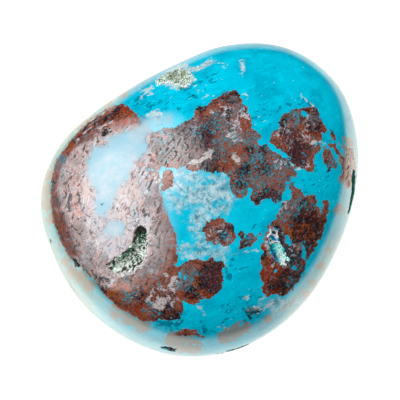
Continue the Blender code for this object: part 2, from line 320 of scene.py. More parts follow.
# Strokes are lines of (x, y, half width).
strokes = {
    "teal": {
        "upperA": [(-50, 92, 1.4), (-47, 95, 2.2), (-42, 97, 1.4), (-38, 99, 1.8), (-31, 102, 1.4)],
        "upperC": [(-63, 98, 1.0), (-60, 101, 1.3), (-57, 103, 0.6)],
        "upperD": [(-13, 106, 1.3), (-8, 104, 1.7), (-3, 102, 1.2)],
        "upperE": [(-58, 82, 0.6), (-50, 81, 0.8), (-40, 82, 0.6)],
        "shoulderShade": [(-20, 109, 0.8), (-10, 112, 1.0), (-8, 118, 1.0)],
        "rightA": [(85, 96, 1.0), (88, 95, 1.7)],
        "rightB": [(103, 97, 0.8), (110, 95, 1.0)],
        "rightC": [(80, 91, 0.8), (79, 89, 0.9)],
        "middleA": [(52, -7, 1.2), (53, -9, 1.1)],
        "middleB": [(53, -26, 0.8), (55, -25, 0.8)],
        "channelA": [(30, -57, 0.7), (33, -59, 0.7)],
        "channelB": [(26, -69, 0.7), (28, -73, 1.1), (30, -78, 0.7)],
        "lowerA": [(38, -98, 0.6), (47, -97, 0.8), (58, -96, 0.9)],
        "lowerB": [(20, -106, 0.6), (28, -103, 0.7), (35, -100, 0.5)],
        "lowerC": [(20, -122, 0.9), (23, -122, 1.0)],
        "dentA": [(44, -109, 1.6), (50, -112, 3.0), (58, -110, 2.2), (63, -108, 1.0)],
        "dentB": [(44, -120, 1.2), (46, -124, 1.2)],
        "bottomA": [(1, -120, 1.2), (4, -128, 1.6), (5, -132, 1.8)],
        "notchRim": [(60, -135, 0.9), (63, -133, 0.8)],
        "rimMark": [(68, -131, 0.5), (70, -130, 0.5)],
        "bottomLeft": [(-50, -118, 1.0), (-38, -122, 2.6), (-24, -124, 2.6), (-18, -120, 1.0)],
    },
    # near-black
    "ink": {
        "crescentPit": [(-53, 7, 0.8), (-52, 5, 0.9)],
        "ringPit": [(-55, -81, 0.7), (-52, -80, 0.5), (-51, -83, 0.5), (-54, -84, 0.6)],
        "leftA": [(-119, -27, 1.0), (-117, -29, 0.8)],
        "leftB": [(-108, -32, 0.9), (-106, -33, 0.6)],
        "leftC": [(-124, -8, 0.8), (-122, -10, 0.6)],
        "slit": [(-95, -67, 0.5), (-91, -63, 0.7), (-88, -61, 0.4)],
        "edgeA": [(-139, -50, 0.9), (-137, -52, 0.7)],
        "edgeB": [(-149, -40, 0.9), (-148, -42, 0.8)],
        "dentPit": [(48, -115, 1.4), (50, -117, 2.0)],
        "blueHole": [(87, -51, 0.8), (88, -54, 1.0)],
        "dentShade": [(46, -111, 0.7), (52, -113, 1.4), (58, -111, 0.7)],
        "shoulderPit": [(-14, 106, 0.5), (-10, 105, 0.6), (-5, 103, 0.5)],
        "creamHole": [(37, 38, 0.6), (38, 38, 0.6)],
        "wedgePit": [(-96, 67, 0.9), (-93, 68, 1.3), (-90, 68, 0.8)],
        "rightA": [(62, -54, 1.0), (65, -55, 0.8)],
        "shellLine": [(-113, -14, 0.3), (-108, -18, 0.45), (-101, -14, 0.3)],
        "shellLineB": [(-99, -6, 0.3), (-94, -3, 0.4)],
        "shellLineC": [(-103, -32, 0.3), (-99, -27, 0.4)],
        "ringLine": [(-83, -5, 0.3), (-81, -13, 0.5)],
        "ringLineB": [(-74, -15, 0.4), (-70, -12, 0.5), (-70, -7, 0.3)],
        "ringLineC": [(-66, -9, 0.3), (-64, -16, 0.4)],
        "crescentSide": [(-64, -31, 0.5), (-66, -40, 0.6), (-69, -48, 0.5)],
        "wedgeLineA": [(-118, 69, 0.4), (-108, 78, 0.8), (-98, 84, 0.6), (-90, 90, 0.3)],
        "wedgeLineB": [(-106, 71, 0.3), (-96, 78, 0.6), (-84, 83, 0.3)],
        "edgeLine": [(-113, -63, 0.3), (-105, -73, 0.6), (-98, -84, 0.5), (-92, -93, 0.3)],
        "lowStreakA": [(-58, -101, 0.4), (-54, -93, 0.6), (-50, -86, 0.3)],
        "lowStreakB": [(-67, -99, 0.3), (-64, -91, 0.5), (-58, -83, 0.3)],
        "lowStreakC": [(-51, -115, 0.6), (-44, -113, 0.9)],
        "lowStreakD": [(-34, -99, 0.5), (-29, -106, 0.9)],
        "lowStreakE": [(-96, -92, 0.4), (-88, -97, 0.6), (-80, -103, 0.4)],
        "lowStreakF": [(-40, -88, 0.3), (-36, -80, 0.5), (-31, -72, 0.3)],
        "leftLineA": [(-136, 12, 0.3), (-132, 2, 0.5), (-133, -8, 0.3)],
        "leftLineB": [(-127, 22, 0.3), (-122, 12, 0.5), (-119, 0, 0.3)],
        "leftLineC": [(-131, -18, 0.3), (-126, -27, 0.6), (-118, -36, 0.3)],
        "leftLineD": [(-116, -44, 0.4), (-109, -52, 0.5), (-106, -62, 0.3)],
        "leftLineE": [(-112, 22, 0.2), (-110, 12, 0.4), (-106, 6, 0.2)],
        "upperLineA": [(-120, 62, 0.4), (-108, 70, 0.7), (-98, 73, 0.4)],
        "upperLineB": [(-128, 40, 0.3), (-118, 50, 0.6), (-106, 56, 0.3)],
        "rimCrack": [(30, -152, 0.5), (40, -149, 0.7), (49, -146, 0.5)],
        "rimCrackB": [(17, -154, 0.6), (23, -153, 0.7)],
    },
    # turquoise grown into cracks
    "growth": {
        "foldA": [(-44, -30, 0.6), (-41, -42, 0.9), (-43, -56, 0.6)],
        "foldB": [(-36, -20, 0.5), (-33, -36, 0.8), (-35, -50, 0.5)],
        "foldC": [(-48, -68, 0.6), (-40, -62, 0.8), (-34, -56, 0.5)],
        "lowerA": [(-44, -76, 0.9), (-41, -81, 1.2), (-38, -87, 0.7)],
        "lowerB": [(-74, -78, 0.6), (-70, -83, 0.8), (-68, -88, 0.5)],
        "lowerC": [(-56, -70, 0.5), (-60, -76, 0.7)],
        "edgeA": [(-137, 38, 1.2), (-136, 26, 1.0), (-139, 18, 0.8)],
        "edgeB": [(-145, 20, 1.0), (-146, 10, 1.1)],
        "edgeC": [(-141, 43, 2.0), (-136, 42, 2.8), (-133, 38, 1.8)],
        "pitBlue": [(-95, -53, 1.2), (-100, -62, 1.6)],
        "blockA": [(-16, -64, 0.7), (-19, -76, 1.1), (-22, -88, 0.6)],
        "blockB": [(-4, -68, 0.6), (-9, -80, 1.0), (-13, -91, 0.6)],
        "hookSide": [(83, -28, 0.9), (82, -38, 1.1), (84, -46, 0.6)],
        "shellA": [(-82, -2, 0.5), (-84, -14, 0.8), (-80, -22, 0.5)],
        "shellB": [(-66, 2, 0.5), (-64, -12, 0.7), (-67, -22, 0.5)],
    },
    "salmon": {
        "lowPatch": [(-78, -84, 2.6), (-73, -87, 3.4), (-70, -91, 1.6)],
        "lowPatchB": [(-90, -87, 0.9), (-84, -84, 1.6)],
        "lowPatchC": [(-62, -91, 1.2), (-59, -96, 1.8), (-56, -100, 1.0)],
        "wedge": [(-86, 75, 1.6), (-74, 78, 2.6), (-62, 77, 2.2)],
        "leftEdgeA": [(-144, 28, 0.8), (-143, 16, 1.2), (-144, 4, 0.8)],
        "leftEdgeB": [(-132, 24, 0.6), (-128, 36, 1.1), (-120, 46, 0.8)],
        "leftEdgeC": [(-124, 10, 0.8), (-126, -4, 1.2), (-122, -16, 0.8)],
        "leftEdgeD": [(-128, -24, 0.8), (-124, -36, 1.3), (-118, -44, 0.8)],
        "lowBand": [(-102, -50, 0.8), (-97, -60, 1.4), (-90, -66, 0.7)],
        "greatA": [(-58, 34, 1.0), (-50, 40, 1.6), (-46, 48, 0.8)],
        "greatB": [(-44, 62, 0.8), (-38, 64, 1.1), (-33, 61, 0.7)],
    },
    # white and cream
    "pale": {
        "leftStreak": [(-46, -86, 1.0), (-49, -93, 1.5), (-53, -100, 1.0)],
        "leftStreakB": [(-60, -86, 0.5), (-63, -93, 0.8), (-67, -99, 0.4)],
        "leftCloud": [(-25, -74, 1.6), (-28, -83, 2.4), (-27, -91, 1.6)],
        "wedgeStreakA": [(-112, 76, 0.1), (-104, 82, 0.4), (-96, 87, 0.1)],
        "wedgeStreakB": [(-101, 71, 0.2), (-94, 74, 0.6), (-86, 77, 0.2)],
        "wedgeStreakC": [(-124, 57, 0.1), (-116, 65, 0.3), (-108, 72, 0.1)],
        "leftCloudB": [(-36, -68, 0.6), (-33, -76, 1.0), (-32, -84, 0.6)],
        "pitArc": [(-122, -56, 0.4), (-119, -61, 0.6), (-118, -68, 0.5)],
        "upperStreak": [(-60, 110, 1.2), (-52, 109, 1.8), (-47, 113, 1.2)],
        "upperStreakB": [(-58, 102, 1.2), (-54, 106, 1.8), (-48, 107, 0.8)],
        "shoulderBand": [(-34, 115, 1.4), (-26, 111, 1.7), (-19, 111, 1.6)],
        "upperFleck": [(-7, 115, 0.7), (-4, 113, 0.9), (-2, 108, 0.6)],
        "upperFleckB": [(3, 100, 0.8), (7, 103, 0.7)],
        "upperFleckC": [(15, 138, 0.7), (20, 136, 0.6), (26, 134, 0.8)],
        "topSpeck": [(41, 137, 1.8), (43, 131, 2.3), (42, 124, 1.3)],
        "edgeSpeck": [(45, 105, 1.2), (46, 102, 0.7)],
        "rightVein": [(99, 104, 0.5), (104, 101, 0.6), (112, 94, 0.5)],
        "channelVein": [(88, 36, 0.5), (95, 32, 0.8), (100, 30, 0.6)],
        "spurVein": [(120, 58, 0.8), (125, 55, 0.9)],
        "dentRidge": [(48, -109, 1.6), (54, -107, 2.6), (61, -109, 1.5)],
        "dentFan": [(64, -107, 1.2), (69, -105, 1.8), (73, -102, 1.2)],
        "lowerVein": [(-2, -106, 0.6), (2, -109, 1.0), (5, -115, 0.6)],
        "middleVein": [(41, -54, 0.1), (45, -51, 0.2), (58, -50, 0.1)],
        "lowerSpeck": [(46, -98, 1.0), (48, -98, 0.9)],
        "bottomSpecks": [(20, -127, 0.3), (24, -126, 0.6), (28, -127, 0.3)],
        "hookStroke": [(69, -68, 0.4), (73, -63, 0.5), (74, -61, 0.3)],
        "flowerA": [(11, 88, 1.0), (12, 87, 1.1)],
        "flowerB": [(20, 88, 0.9), (25, 86, 1.2), (23, 84, 0.7)],
        "greatSpeck": [(43, 84, 1.2), (48, 80, 1.0)],
        "rhombSide": [(-44, 26, 2.0), (-42, 18, 2.6)],
        "pitStreak": [(-91, -77, 1.2), (-86, -79, 1.6), (-90, -84, 0.9)],
        "holeRing": [(84, -47, 0.5), (89, -48, 0.6), (92, -52, 0.6), (91, -57, 0.6), (86, -60, 0.5)],
        "blueFoot": [(80, -63, 1.1), (83, -67, 1.3), (86, -65, 0.7)],
        "blueSide": [(65, -42, 0.8), (67, -48, 1.0), (72, -51, 0.7)],
    },
}

# Soft blobs of (x, y, radius).
blobs = {
    # near-black rock
    "dark": [(104, -30, 13), (94, -58, 10), (84, -82, 9), (8, -78, 11), (-8, -92, 7), (-103, 78, 4),
        (-124, 60, 3), (-112, -70, 5), (-96, -88, 4), (108, -44, 8), (118, -24, 6), (96, -30, 6),
        (102, -64, 6), (-46, 54, 7), (-38, 44, 7), (-30, 52, 8), (28, 100, 5), (34, 102, 5), (24, 87, 5),
        (28, 84, 4), (0, 92, 5), (5, 66, 7), (-15, 68, 8), (0, 58, 8), (-20, 58, 10), (68, 5, 7),
        (75, 0, 7), (80, 2, 4), (54, -2, 6), (84, 80, 4), (80, 72, 6), (85, 69, 5), (95, 50, 8),
        (92, 44, 7), (98, 40, 6), (110, 81, 9), (113, 74, 7), (124, 37, 4), (127, 29, 4), (64, -54, 4),
        (82, -36, 3), (90, -45, 4), (80, -60, 5), (98, -54, 6), (105, -15, 9), (103, -3, 4), (92, -86, 7),
        (100, -75, 5), (84, -90, 5), (16, -66, 6), (14, -75, 7), (15, -84, 7), (8, -88, 5), (34, -28, 4),
        (22, -34, 5), (42, -34, 5), (44, -45, 5), (57, 3, 5), (62, 32, 7), (40, 18, 6), (27, 13, 4),
        (48, 50, 5), (63, 50, 5), (45, 30, 7), (12, 32, 7), (4, 35, 5), (-116, -63, 6), (-132, -33, 4),
        (-109, -33, 3), (-82, 88, 5), (-114, 69, 4), (-96, 84, 5), (-85, 80, 4), (-130, 25, 5),
        (-133, 12, 5), (-134, -5, 6), (-120, 80, 4), (-138, 15, 6), (-100, -78, 5), (-60, -95, 6),
        (-35, -112, 10), (-22, -118, 8), (-72, -76, 5), (-118, -20, 6), (132, 68, 3), (74, -53, 5),
        (75, -60, 4), (112, -30, 8), (98, -22, 8), (90, -70, 8), (72, -84, 5), (10, -70, 9)],
    # grey rock: more slate and chalk crumbs, and a stronger painted highlight on its bumps
    "grey": [(14, -34, 8), (22, -28, 6), (-10, 70, 12), (-22, 58, 10), (-38, 62, 8), (34, 78, 9),
        (45, 88, 7), (25, 88, 7), (82, 66, 8), (88, 58, 8), (103, 64, 8), (80, 36, 7), (85, 42, 6),
        (110, 80, 8), (105, 35, 5), (35, 65, 9), (78, -7, 8), (85, -3, 7), (30, -38, 6), (76, -52, 6),
        (94, -50, 6), (-70, 70, 6), (-100, 66, 7), (-104, 72, 6), (-30, -100, 8), (-45, -100, 8),
        (-25, -84, 7), (-38, -90, 6), (-92, -80, 8)],
    # deep red rock
    "red": [(6, -80, 12), (-12, -92, 8), (-75, -99, 10), (-90, -91, 8), (-55, -112, 9), (-101, -83, 6),
        (-46, -114, 6), (-95, 86, 5), (-106, 76, 5), (-118, 64, 5), (-128, 52, 5), (-137, 42, 4),
        (-80, -100, 7), (-60, -108, 8), (-84, -94, 6), (66, -92, 6), (62, -74, 5), (-40, -106, 6),
        (110, 88, 5), (12, 68, 6), (14, 55, 6), (88, 62, 9), (95, 52, 10), (100, 62, 9), (122, 68, 6),
        (106, -20, 10), (90, -30, 10), (64, -48, 6), (70, -56, 8), (82, -66, 12), (110, -40, 9),
        (20, -75, 7), (5, -90, 12), (-2, -88, 9), (-10, -95, 9), (-65, 84, 12), (-32, 18, 10),
        (-72, 88, 12), (-78, 80, 8), (72, -66, 8), (64, -80, 8), (70, -88, 8)],
    # where turquoise is grown through the rust-red rock
    "worm": [(0, 66, 9), (-38, 60, 9), (32, 62, 10), (34, 90, 8), (20, 75, 12), (18, 50, 10), (55, 25, 18),
        (75, 30, 14), (60, 45, 12), (90, 20, 9), (40, 15, 12), (50, 60, 8), (92, 80, 8), (82, 3, 9),
        (100, -5, 10), (85, -15, 8), (105, -50, 8), (95, -60, 10), (88, -80, 6), (22, -38, 7), (50, -38, 8),
        (-10, -75, 9), (-14, -82, 8), (-138, 30, 10), (-130, 0, 12), (130, 36, 8), (60, 63, 9),
        (-48, -110, 8), (-70, -96, 8)],
    "plum": [(-30, 60, 9), (72, 2, 7), (-5, 62, 14), (-16, 68, 13), (5, 50, 12), (10, 72, 8), (-24, 52, 10),
        (95, 40, 9), (100, 50, 9), (92, 62, 8), (-12, 44, 8), (18, -82, 9), (10, -76, 9)],
    # darker places in the pale left part where the lamp is mirrored
    "shade": [(-38, -28, 9), (-38, -46, 9), (-44, -60, 7), (-122, -32, 9), (-124, -48, 8), (-112, -60, 8),
        (-136, 20, 7), (-139, 0, 7), (-136, -20, 7), (-96, -62, 6), (-84, -66, 6), (-56, -68, 7),
        (-124, 40, 6), (-112, 60, 6), (-50, -2, 5), (-110, -48, 6)],
    # flecked turquoise
    "fleck": [(75, 78, 14), (62, 82, 12), (100, 100, 8), (116, 20, 14), (35, -66, 9), (-40, 96, 18),
        (-20, 104, 16), (-52, 100, 14), (0, 104, 12), (55, -110, 10), (30, -112, 14), (45, -100, 12),
        (8, 118, 10), (-60, 106, 10), (20, -125, 10), (-30, -120, 14)],
    # painted highlight: the white haze of the mirrored lamp's bright middle
    "haze": [(-54, 71, 9), (-45, 76, 8), (-34, 79, 6), (-62, 66, 8), (-97, 24, 13), (-86, 34, 11),
        (-93, 10, 9), (-72, 44, 9), (-66, 34, 8), (-84, 22, 10), (-88, -30, 9)],
    # turquoise stained tan
    "tan": [(30, -134, 7), (38, -130, 7), (46, -127, 6), (24, -138, 6), (-20, -143, 8), (-6, -146, 7),
        (-82, -109, 8), (-75, -112, 9), (-68, -116, 9), (-60, -121, 9), (-56, -126, 6), (-14, -137, 7),
        (-27, -139, 7), (-74, -105, 6), (-65, -110, 6), (-152, 24, 5), (-154, 10, 6), (-153, -4, 6),
        (-150, -20, 5), (68, -118, 4), (106, -94, 4), (112, -82, 4), (120, -66, 4), (128, -50, 3),
        (-118, -78, 6), (-111, -85, 6), (138, -10, 5), (146, 20, 7), (147, 40, 8), (146, 56, 6),
        (-128, -72, 5), (-134, -62, 4), (-92, 96, 4), (-76, 106, 4)],
}


def outlineDepth(x, y, corners):                # signed distance to a closed outline, positive inside
    nearest = np.full(len(x), 1e9)
    inside = np.zeros(len(x), bool)
    for (ax, ay), (bx, by) in zip(corners, corners[1:] + corners[:1]):
        dx, dy = bx - ax, by - ay
        along = np.clip(((x - ax) * dx + (y - ay) * dy) / (dx * dx + dy * dy), 0, 1)
        nearest = np.minimum(nearest, np.hypot(x - ax - along * dx, y - ay - along * dy))
        if ay != by:
            inside ^= ((ay > y) != (by > y)) & (x < ax + (y - ay) * dx / dy)
    return np.where(inside, nearest, -nearest)


def strokeDepth(x, y, points):
    deepest = np.full(len(x), -1e9)
    for (ax, ay, aw), (bx, by, bw) in zip(points, points[1:]):
        dx, dy = bx - ax, by - ay
        along = np.clip(((x - ax) * dx + (y - ay) * dy) / (dx * dx + dy * dy), 0, 1)
        away = np.hypot(x - ax - along * dx, y - ay - along * dy)
        deepest = np.maximum(deepest, aw + (bw - aw) * along - away)
    return deepest


def blobAmount(x, y, blobs):                    # 1 in a blob's middle, 0 from its edge on
    amount = np.zeros(len(x))
    for cx, cy, radius in blobs:
        near = np.clip(1 - ((x - cx) ** 2 + (y - cy) ** 2) / (1.6 * radius) ** 2, 0, 1)
        amount = np.maximum(amount, near * near * (3 - 2 * near))
    return amount


def deepestOf(depth, x, y, shapes):             # millimetres inside any of the shapes
    far = 20.0                                  # tenths past which a distance no longer matters
    found = np.full(len(x), -far)
    for shape in shapes.values():
        corners = np.array(shape)
        low, high = corners[:, :2].min(axis=0) - far, corners[:, :2].max(axis=0) + far
        near = (x > low[0]) & (x < high[0]) & (y > low[1]) & (y < high[1])
        found[near] = np.maximum(found[near], depth(x[near], y[near], shape))
    return np.clip(found, -far, far) / 10


# The parts of the stone that the photo doesn't show follow the same kinds of patches, from
# noise in space: (frequency per millimetre, seed, share of the noise that is left out, slope)
hiddenPatches = {
    "rust": (0.13, (4.0, 9.0, 2.0), 0.06, 7.0),
    "quartz": (0.12, (31.0, 5.0, 8.0), 0.22, 6.0),
    "bleached": (0.1, (3.0, 27.0, 6.0), 0.3, 6.0),
    "pale": (0.45, (7.0, 61.0, 3.0), 0.5, 4.0),
    "teal": (0.5, (9.0, 6.0, 55.0), 0.42, 4.0),
    "ink": (0.6, (19.0, 2.0, 5.0), 0.55, 3.0),
    "growth": (0.5, (1.0, 23.0, 9.0), 0.4, 3.0),
    "dark": (0.35, (8.0, 1.0, 17.0), 0.15, 2.2),
    "grey": (0.3, (2.0, 44.0, 7.0), 0.2, 2.2),
    "red": (0.2, (12.0, 4.0, 29.0), 0.1, 2.2),
    "worm": (0.25, (5.0, 15.0, 3.0), 0.0, 2.2),
    "plum": (0.2, (11.0, 25.0, 13.0), 0.25, 2.2),
    "shade": (0.25, (18.0, 14.0, 3.0), 0.2, 2.2),
    "blush": (0.2, (17.0, 2.0, 41.0), 0.15, 5.0),
    "slab": (0.3, (13.0, 8.0, 22.0), 0.45, 4.0),
    "frost": (0.2, (23.0, 12.0, 1.0), 0.2, 5.0),
    "ribbon": (0.18, (29.0, 3.0, 9.0), 0.1, 5.0),
    "salmon": (0.4, (9.0, 33.0, 4.0), 0.3, 4.0),
    "fleck": (0.2, (14.0, 7.0, 1.0), 0.1, 2.2),
    "haze": (0.12, (6.0, 3.0, 18.0), 0.4, 2.2),
    "tan": (0.16, (21.0, 8.0, 4.0), 0.25, 2.2),
}
# The markings drawn from above give way to the hidden ones at a height in millimetres, along a
# border that sways.
border = {"height": 5.0, "sway": 3.0, "blend": 2.6, "frequency": 0.3}
# the band round the widest line, partly painted shade and table-tinted light on the steep rim, partly its own
# streaks: (compass direction, strength, width in millimetres)
rimShadeAndWear = [(0, 0.5, 2.0), (30, 0.3, 1.8), (60, 0.15, 1.2), (110, 0.15, 1.2), (135, 0.6, 1.6),
              (160, 1, 2.2), (200, 1, 2.6), (212, 0.9, 3.4), (222, 0.6, 4.0), (232, 0.35, 4.0),
              (245, 0.3, 3.6), (268, 0.2, 3.0), (285, 0.2, 2.6), (305, 0.4, 2.2), (330, 0.5, 2.0),
              (360, 0.5, 2.0)]


def hiddenField(points, name):
    frequency, seed, left, slope = hiddenPatches[name]
    values = [noise.fractal(Vector(point) * frequency + Vector(seed), 0.8, 2.1, 3) for point in points]
    return (np.array(values) - left) * slope


def smoothShare(value):
    value = np.clip(value, 0, 1)
    return value * value * (3 - 2 * value)


def rimPlaces(points):                          # millimetres inside the widest line, and the direction
    angles = np.arctan2(points[:, 1], points[:, 0])
    ways = np.degrees(angles) % 360
    turn = np.arange(361)
    radii = np.interp(ways, turn, [outlineRadius(math.radians(way)) for way in turn])
    return radii - np.hypot(points[:, 0], points[:, 1]), ways, angles


def rimSkin(points):                            # the band round the widest line, partly painted shade and table-tinted light on the steep rim
    inset, ways, _ = rimPlaces(points)
    places, strengths, widths = zip(*rimShadeAndWear)
    below = smoothShare((points[:, 2] - 4.0) / 5.0)
    share = smoothShare((np.interp(ways, places, widths) - inset) / 1.0)
    return share * below * np.interp(ways, places, strengths)


def markings(points):
    x, y, z = points[:, 0] * 10, points[:, 1] * 10, points[:, 2]
    windows = deepestOf(outlineDepth, x, y, rustWindows)
    fields = {"rust": np.minimum(deepestOf(outlineDepth, x, y, rustOutlines), -windows)}
    for name, shapes in outlines.items():
        fields[name] = deepestOf(outlineDepth, x, y, shapes)
    for name, shapes in strokes.items():
        fields[name] = deepestOf(strokeDepth, x, y, shapes)
    fields["pale"] = np.maximum(fields["pale"], deepestOf(outlineDepth, x, y, paleOutlines))
    signed = set(fields)                        # these run below 0 outside their shapes
    for name, spots in blobs.items():
        fields[name] = blobAmount(x, y, spots)
    sway = np.array([noise.noise(Vector(point) * border["frequency"]) for point in points])
    shown = smoothShare((z - border["height"] + border["sway"] * sway) / border["blend"])
    hidden = shown < 1
    for name, values in fields.items():
        other = hiddenField(points[hidden], name)
        limits = (-2, 2) if name in signed else (0, 1)
        values[hidden] = values[hidden] * shown[hidden] + np.clip(other, *limits) * (1 - shown[hidden])
    fields["skin"] = rimSkin(points)
    return fields


def refine(bm, isNear):
    near = [edge for edge in bm.edges if isNear((edge.verts[0].co + edge.verts[1].co) / 2)]
    bmesh.ops.subdivide_edges(bm, edges=near, cuts=1, use_grid_fill=True)
    bmesh.ops.triangulate(bm, faces=bm.faces[:])


def addAttribute(piece, name, kind, values):
    layer = piece.data.attributes.new(name, kind, "POINT")
    part = {"FLOAT": "value", "FLOAT_VECTOR": "vector", "FLOAT_COLOR": "color"}[kind]
    layer.data.foreach_set(part, np.asarray(values, np.float32).ravel())


def lipOf(hollow, inside, way):                 # how pale the rim is at a point beside a hollow
    if inside < -0.5:
        return 0.0
    turn = math.radians(hollow["lipWay"])
    facing = way.normalized().dot(Vector((math.cos(turn), math.sin(turn), 0)))
    return hollow["lip"] * min(max(0.4 + facing, 0.0), 1.0)


def buildSkin():
    bm = bmesh.new()
    bmesh.ops.create_icosphere(bm, subdivisions=pebble["sphereLevel"], radius=1)
    for margin in pebble["refinedMargins"]:
        def nearHollow(way):
            point = pebblePoint(way)
            return max(insideHollow(point, hollow) for hollow in hollows.values()) > -margin
        refine(bm, nearHollow)
    rims, lips, tones = [], [], []
    for vert in bm.verts:
        point = pebblePoint(vert.co)
        rim, lip, colour = -1.0, 0.0, (0.0, 0.0, 0.0, 0.0)
        for hollow in hollows.values():
            inside, way = nearestInHollow(point, hollow)
            if inside > rim:
                rim, lip = inside, lipOf(hollow, inside, way)
                colour = (*tone(*hollow["colour"])[:3], hollow.get("cover", 1.0))
        if rim > 0:
            lumps = pebble["floorLumps"] * min(rim / 0.3, 1) * noise.fractal(point * 2.5, 0.7, 2, 3)
            point -= surfaceNormal(point) * (hollowDepth(point) + lumps)
        vert.co = restOnFoot(point)
        rims.append(rim)
        lips.append(lip)
        tones.append(colour)
    skin = finishPiece("stone_skin", bm)
    points = np.array([vert.co for vert in skin.data.vertices]) / mm
    fields = markings(points)
    fields["rim"] = np.array(rims)
    fields["lip"] = np.array(lips)
    for name, values in fields.items():
        addAttribute(skin, name, "FLOAT", values)
    addAttribute(skin, "hollowTone", "FLOAT_COLOR", tones)
    inset, _, angles = rimPlaces(points)
    ring = np.stack([np.cos(angles) * 5, np.sin(angles) * 5, inset * 1.6 + points[:, 2] * 0.4], axis=1)
    addAttribute(skin, "ring", "FLOAT_VECTOR", ring)
    return skin


def finishPiece(name, bm):
    bmesh.ops.scale(bm, vec=(mm, mm, mm), verts=bm.verts[:])
    mesh = bpy.data.meshes.new(name)
    bm.to_mesh(mesh)
    bm.free()
    mesh.shade_smooth()
    piece = bpy.data.objects.new(name, mesh)
    bpy.context.scene.collection.objects.link(piece)
    return piece


# Shader maths: a wire is one output of a node, and expressions on wires add Math nodes.
class Wire:
    def __init__(self, tree, socket):
        self.tree = tree
        self.socket = socket

    def calc(self, operation, first, second=0.0):
        return self.tree.add("ShaderNodeMath", {"operation": operation}, {0: first, 1: second})

    def __add__(self, other):
        return self.calc("ADD", self, other)

    def __radd__(self, other):
        return self.calc("ADD", other, self)

    def __sub__(self, other):
        return self.calc("SUBTRACT", self, other)

    def __rsub__(self, other):
        return self.calc("SUBTRACT", other, self)

    def __mul__(self, other):
        return self.calc("MULTIPLY", self, other)

    def __rmul__(self, other):
        return self.calc("MULTIPLY", other, self)

    def __truediv__(self, other):
        return self.calc("DIVIDE", self, other)

    def over(self, low, high):                  # 0 at low, 1 at high, smooth between
        return self.tree.add("ShaderNodeMapRange", {"interpolation_type": "SMOOTHSTEP"},
                             {"Value": self, "From Min": low, "From Max": high})

    def ridge(self, width):                     # 1 on thin lines, where a noise crosses its middle
        return self.calc("ABSOLUTE", self - 0.5).over(width, width * 0.35)

    def larger(self, other):
        return self.calc("MAXIMUM", self, other)

    def smaller(self, other):
        return self.calc("MINIMUM", self, other)


class Tree:
    def __init__(self, nodeTree):
        self.nodes = nodeTree.nodes
        self.links = nodeTree.links

    def add(self, kind, settings=None, inputs=None, output=0):
        node = self.nodes.new(kind)
        for name, value in (settings or {}).items():
            if name == "stops":
                self.setStops(node.color_ramp.elements, value)
            else:
                setattr(node, name, value)
        for name, value in (inputs or {}).items():
            self.put(node.inputs[name], value)
        return Wire(self, node.outputs[output]) if node.outputs else None

    def put(self, socket, value):
        if isinstance(value, Wire):
            self.links.new(value.socket, socket)
        else:
            socket.default_value = value

    def setStops(self, elements, stops):
        while len(elements) < len(stops):
            elements.new(0.5)
        for element, (place, colour) in zip(elements, stops):
            element.position = place
            element.color = colour

    def mix(self, low, high, share):
        return self.add("ShaderNodeMix", {"data_type": "RGBA"}, {0: share, 6: low, 7: high}, output=2)

    def field(self, name, output="Fac"):
        return self.add("ShaderNodeAttribute", {"attribute_name": name}, output=output)

    def ramp(self, value, stops):
        return self.add("ShaderNodeValToRGB", {"stops": stops}, {0: value})


def newFinish(name, roughness):
    material = bpy.data.materials.new(name)
    material.use_nodes = True
    shader = material.node_tree.nodes["Principled BSDF"]
    shader.inputs["Roughness"].default_value = roughness
    return material, Tree(material.node_tree), shader


def tone(red, green, blue):                     # screen colour, 0 to 255, to a linear RGBA
    linear = [value / 3294.6 if value <= 10 else ((value / 255 + 0.055) / 1.055) ** 2.4
              for value in (red, green, blue)]
    return (*linear, 1.0)


turquoiseTones = {
    "bright": tone(0, 213, 242),
    "middle": tone(0, 200, 232),
    "deep": tone(0, 180, 212),
    "fleck": tone(0, 104, 130),
    "speck": tone(190, 228, 234),
    "bleached": tone(96, 160, 182),
    "haze": tone(168, 186, 196),
}
quartzTones = {
    "shade": tone(70, 118, 134),
    "middle": tone(172, 206, 216),
    "light": tone(214, 234, 240),
}
rimTones = {
    "teal": tone(96, 156, 154),
    "mint": tone(150, 182, 176),
    "cyan": tone(96, 184, 194),
    "tan": tone(156, 130, 112),
    "line": tone(70, 84, 80),
}
rockTones = {
    "black": tone(28, 25, 32),
    "maroon": tone(68, 34, 30),
    "brown": tone(104, 52, 36),
    "rust": tone(150, 78, 54),
    "vermilion": tone(136, 48, 22),
    "spark": tone(196, 98, 66),
    "salmon": tone(200, 114, 96),
    "ochre": tone(146, 76, 24),
    "slate": tone(92, 112, 118),
    "sheenSilver": tone(168, 168, 176),
    "growth": tone(20, 148, 170),
    "lavender": tone(140, 130, 140),
    "blueGrey": tone(150, 172, 188),
    "pink": tone(160, 124, 116),
    "line": tone(64, 48, 50),
    "plum": tone(82, 50, 54),
    "blush": tone(198, 178, 174),
    "frost": tone(182, 178, 188),
    "ash": tone(112, 112, 116),
    "chalk": tone(208, 208, 216),
}
markTones = {
    "blueWhite": tone(208, 228, 232),
    "cream": tone(220, 213, 212),
    "ashen": tone(150, 146, 144),
    "ink": tone(30, 34, 38),
    "lip": tone(196, 194, 196),
}


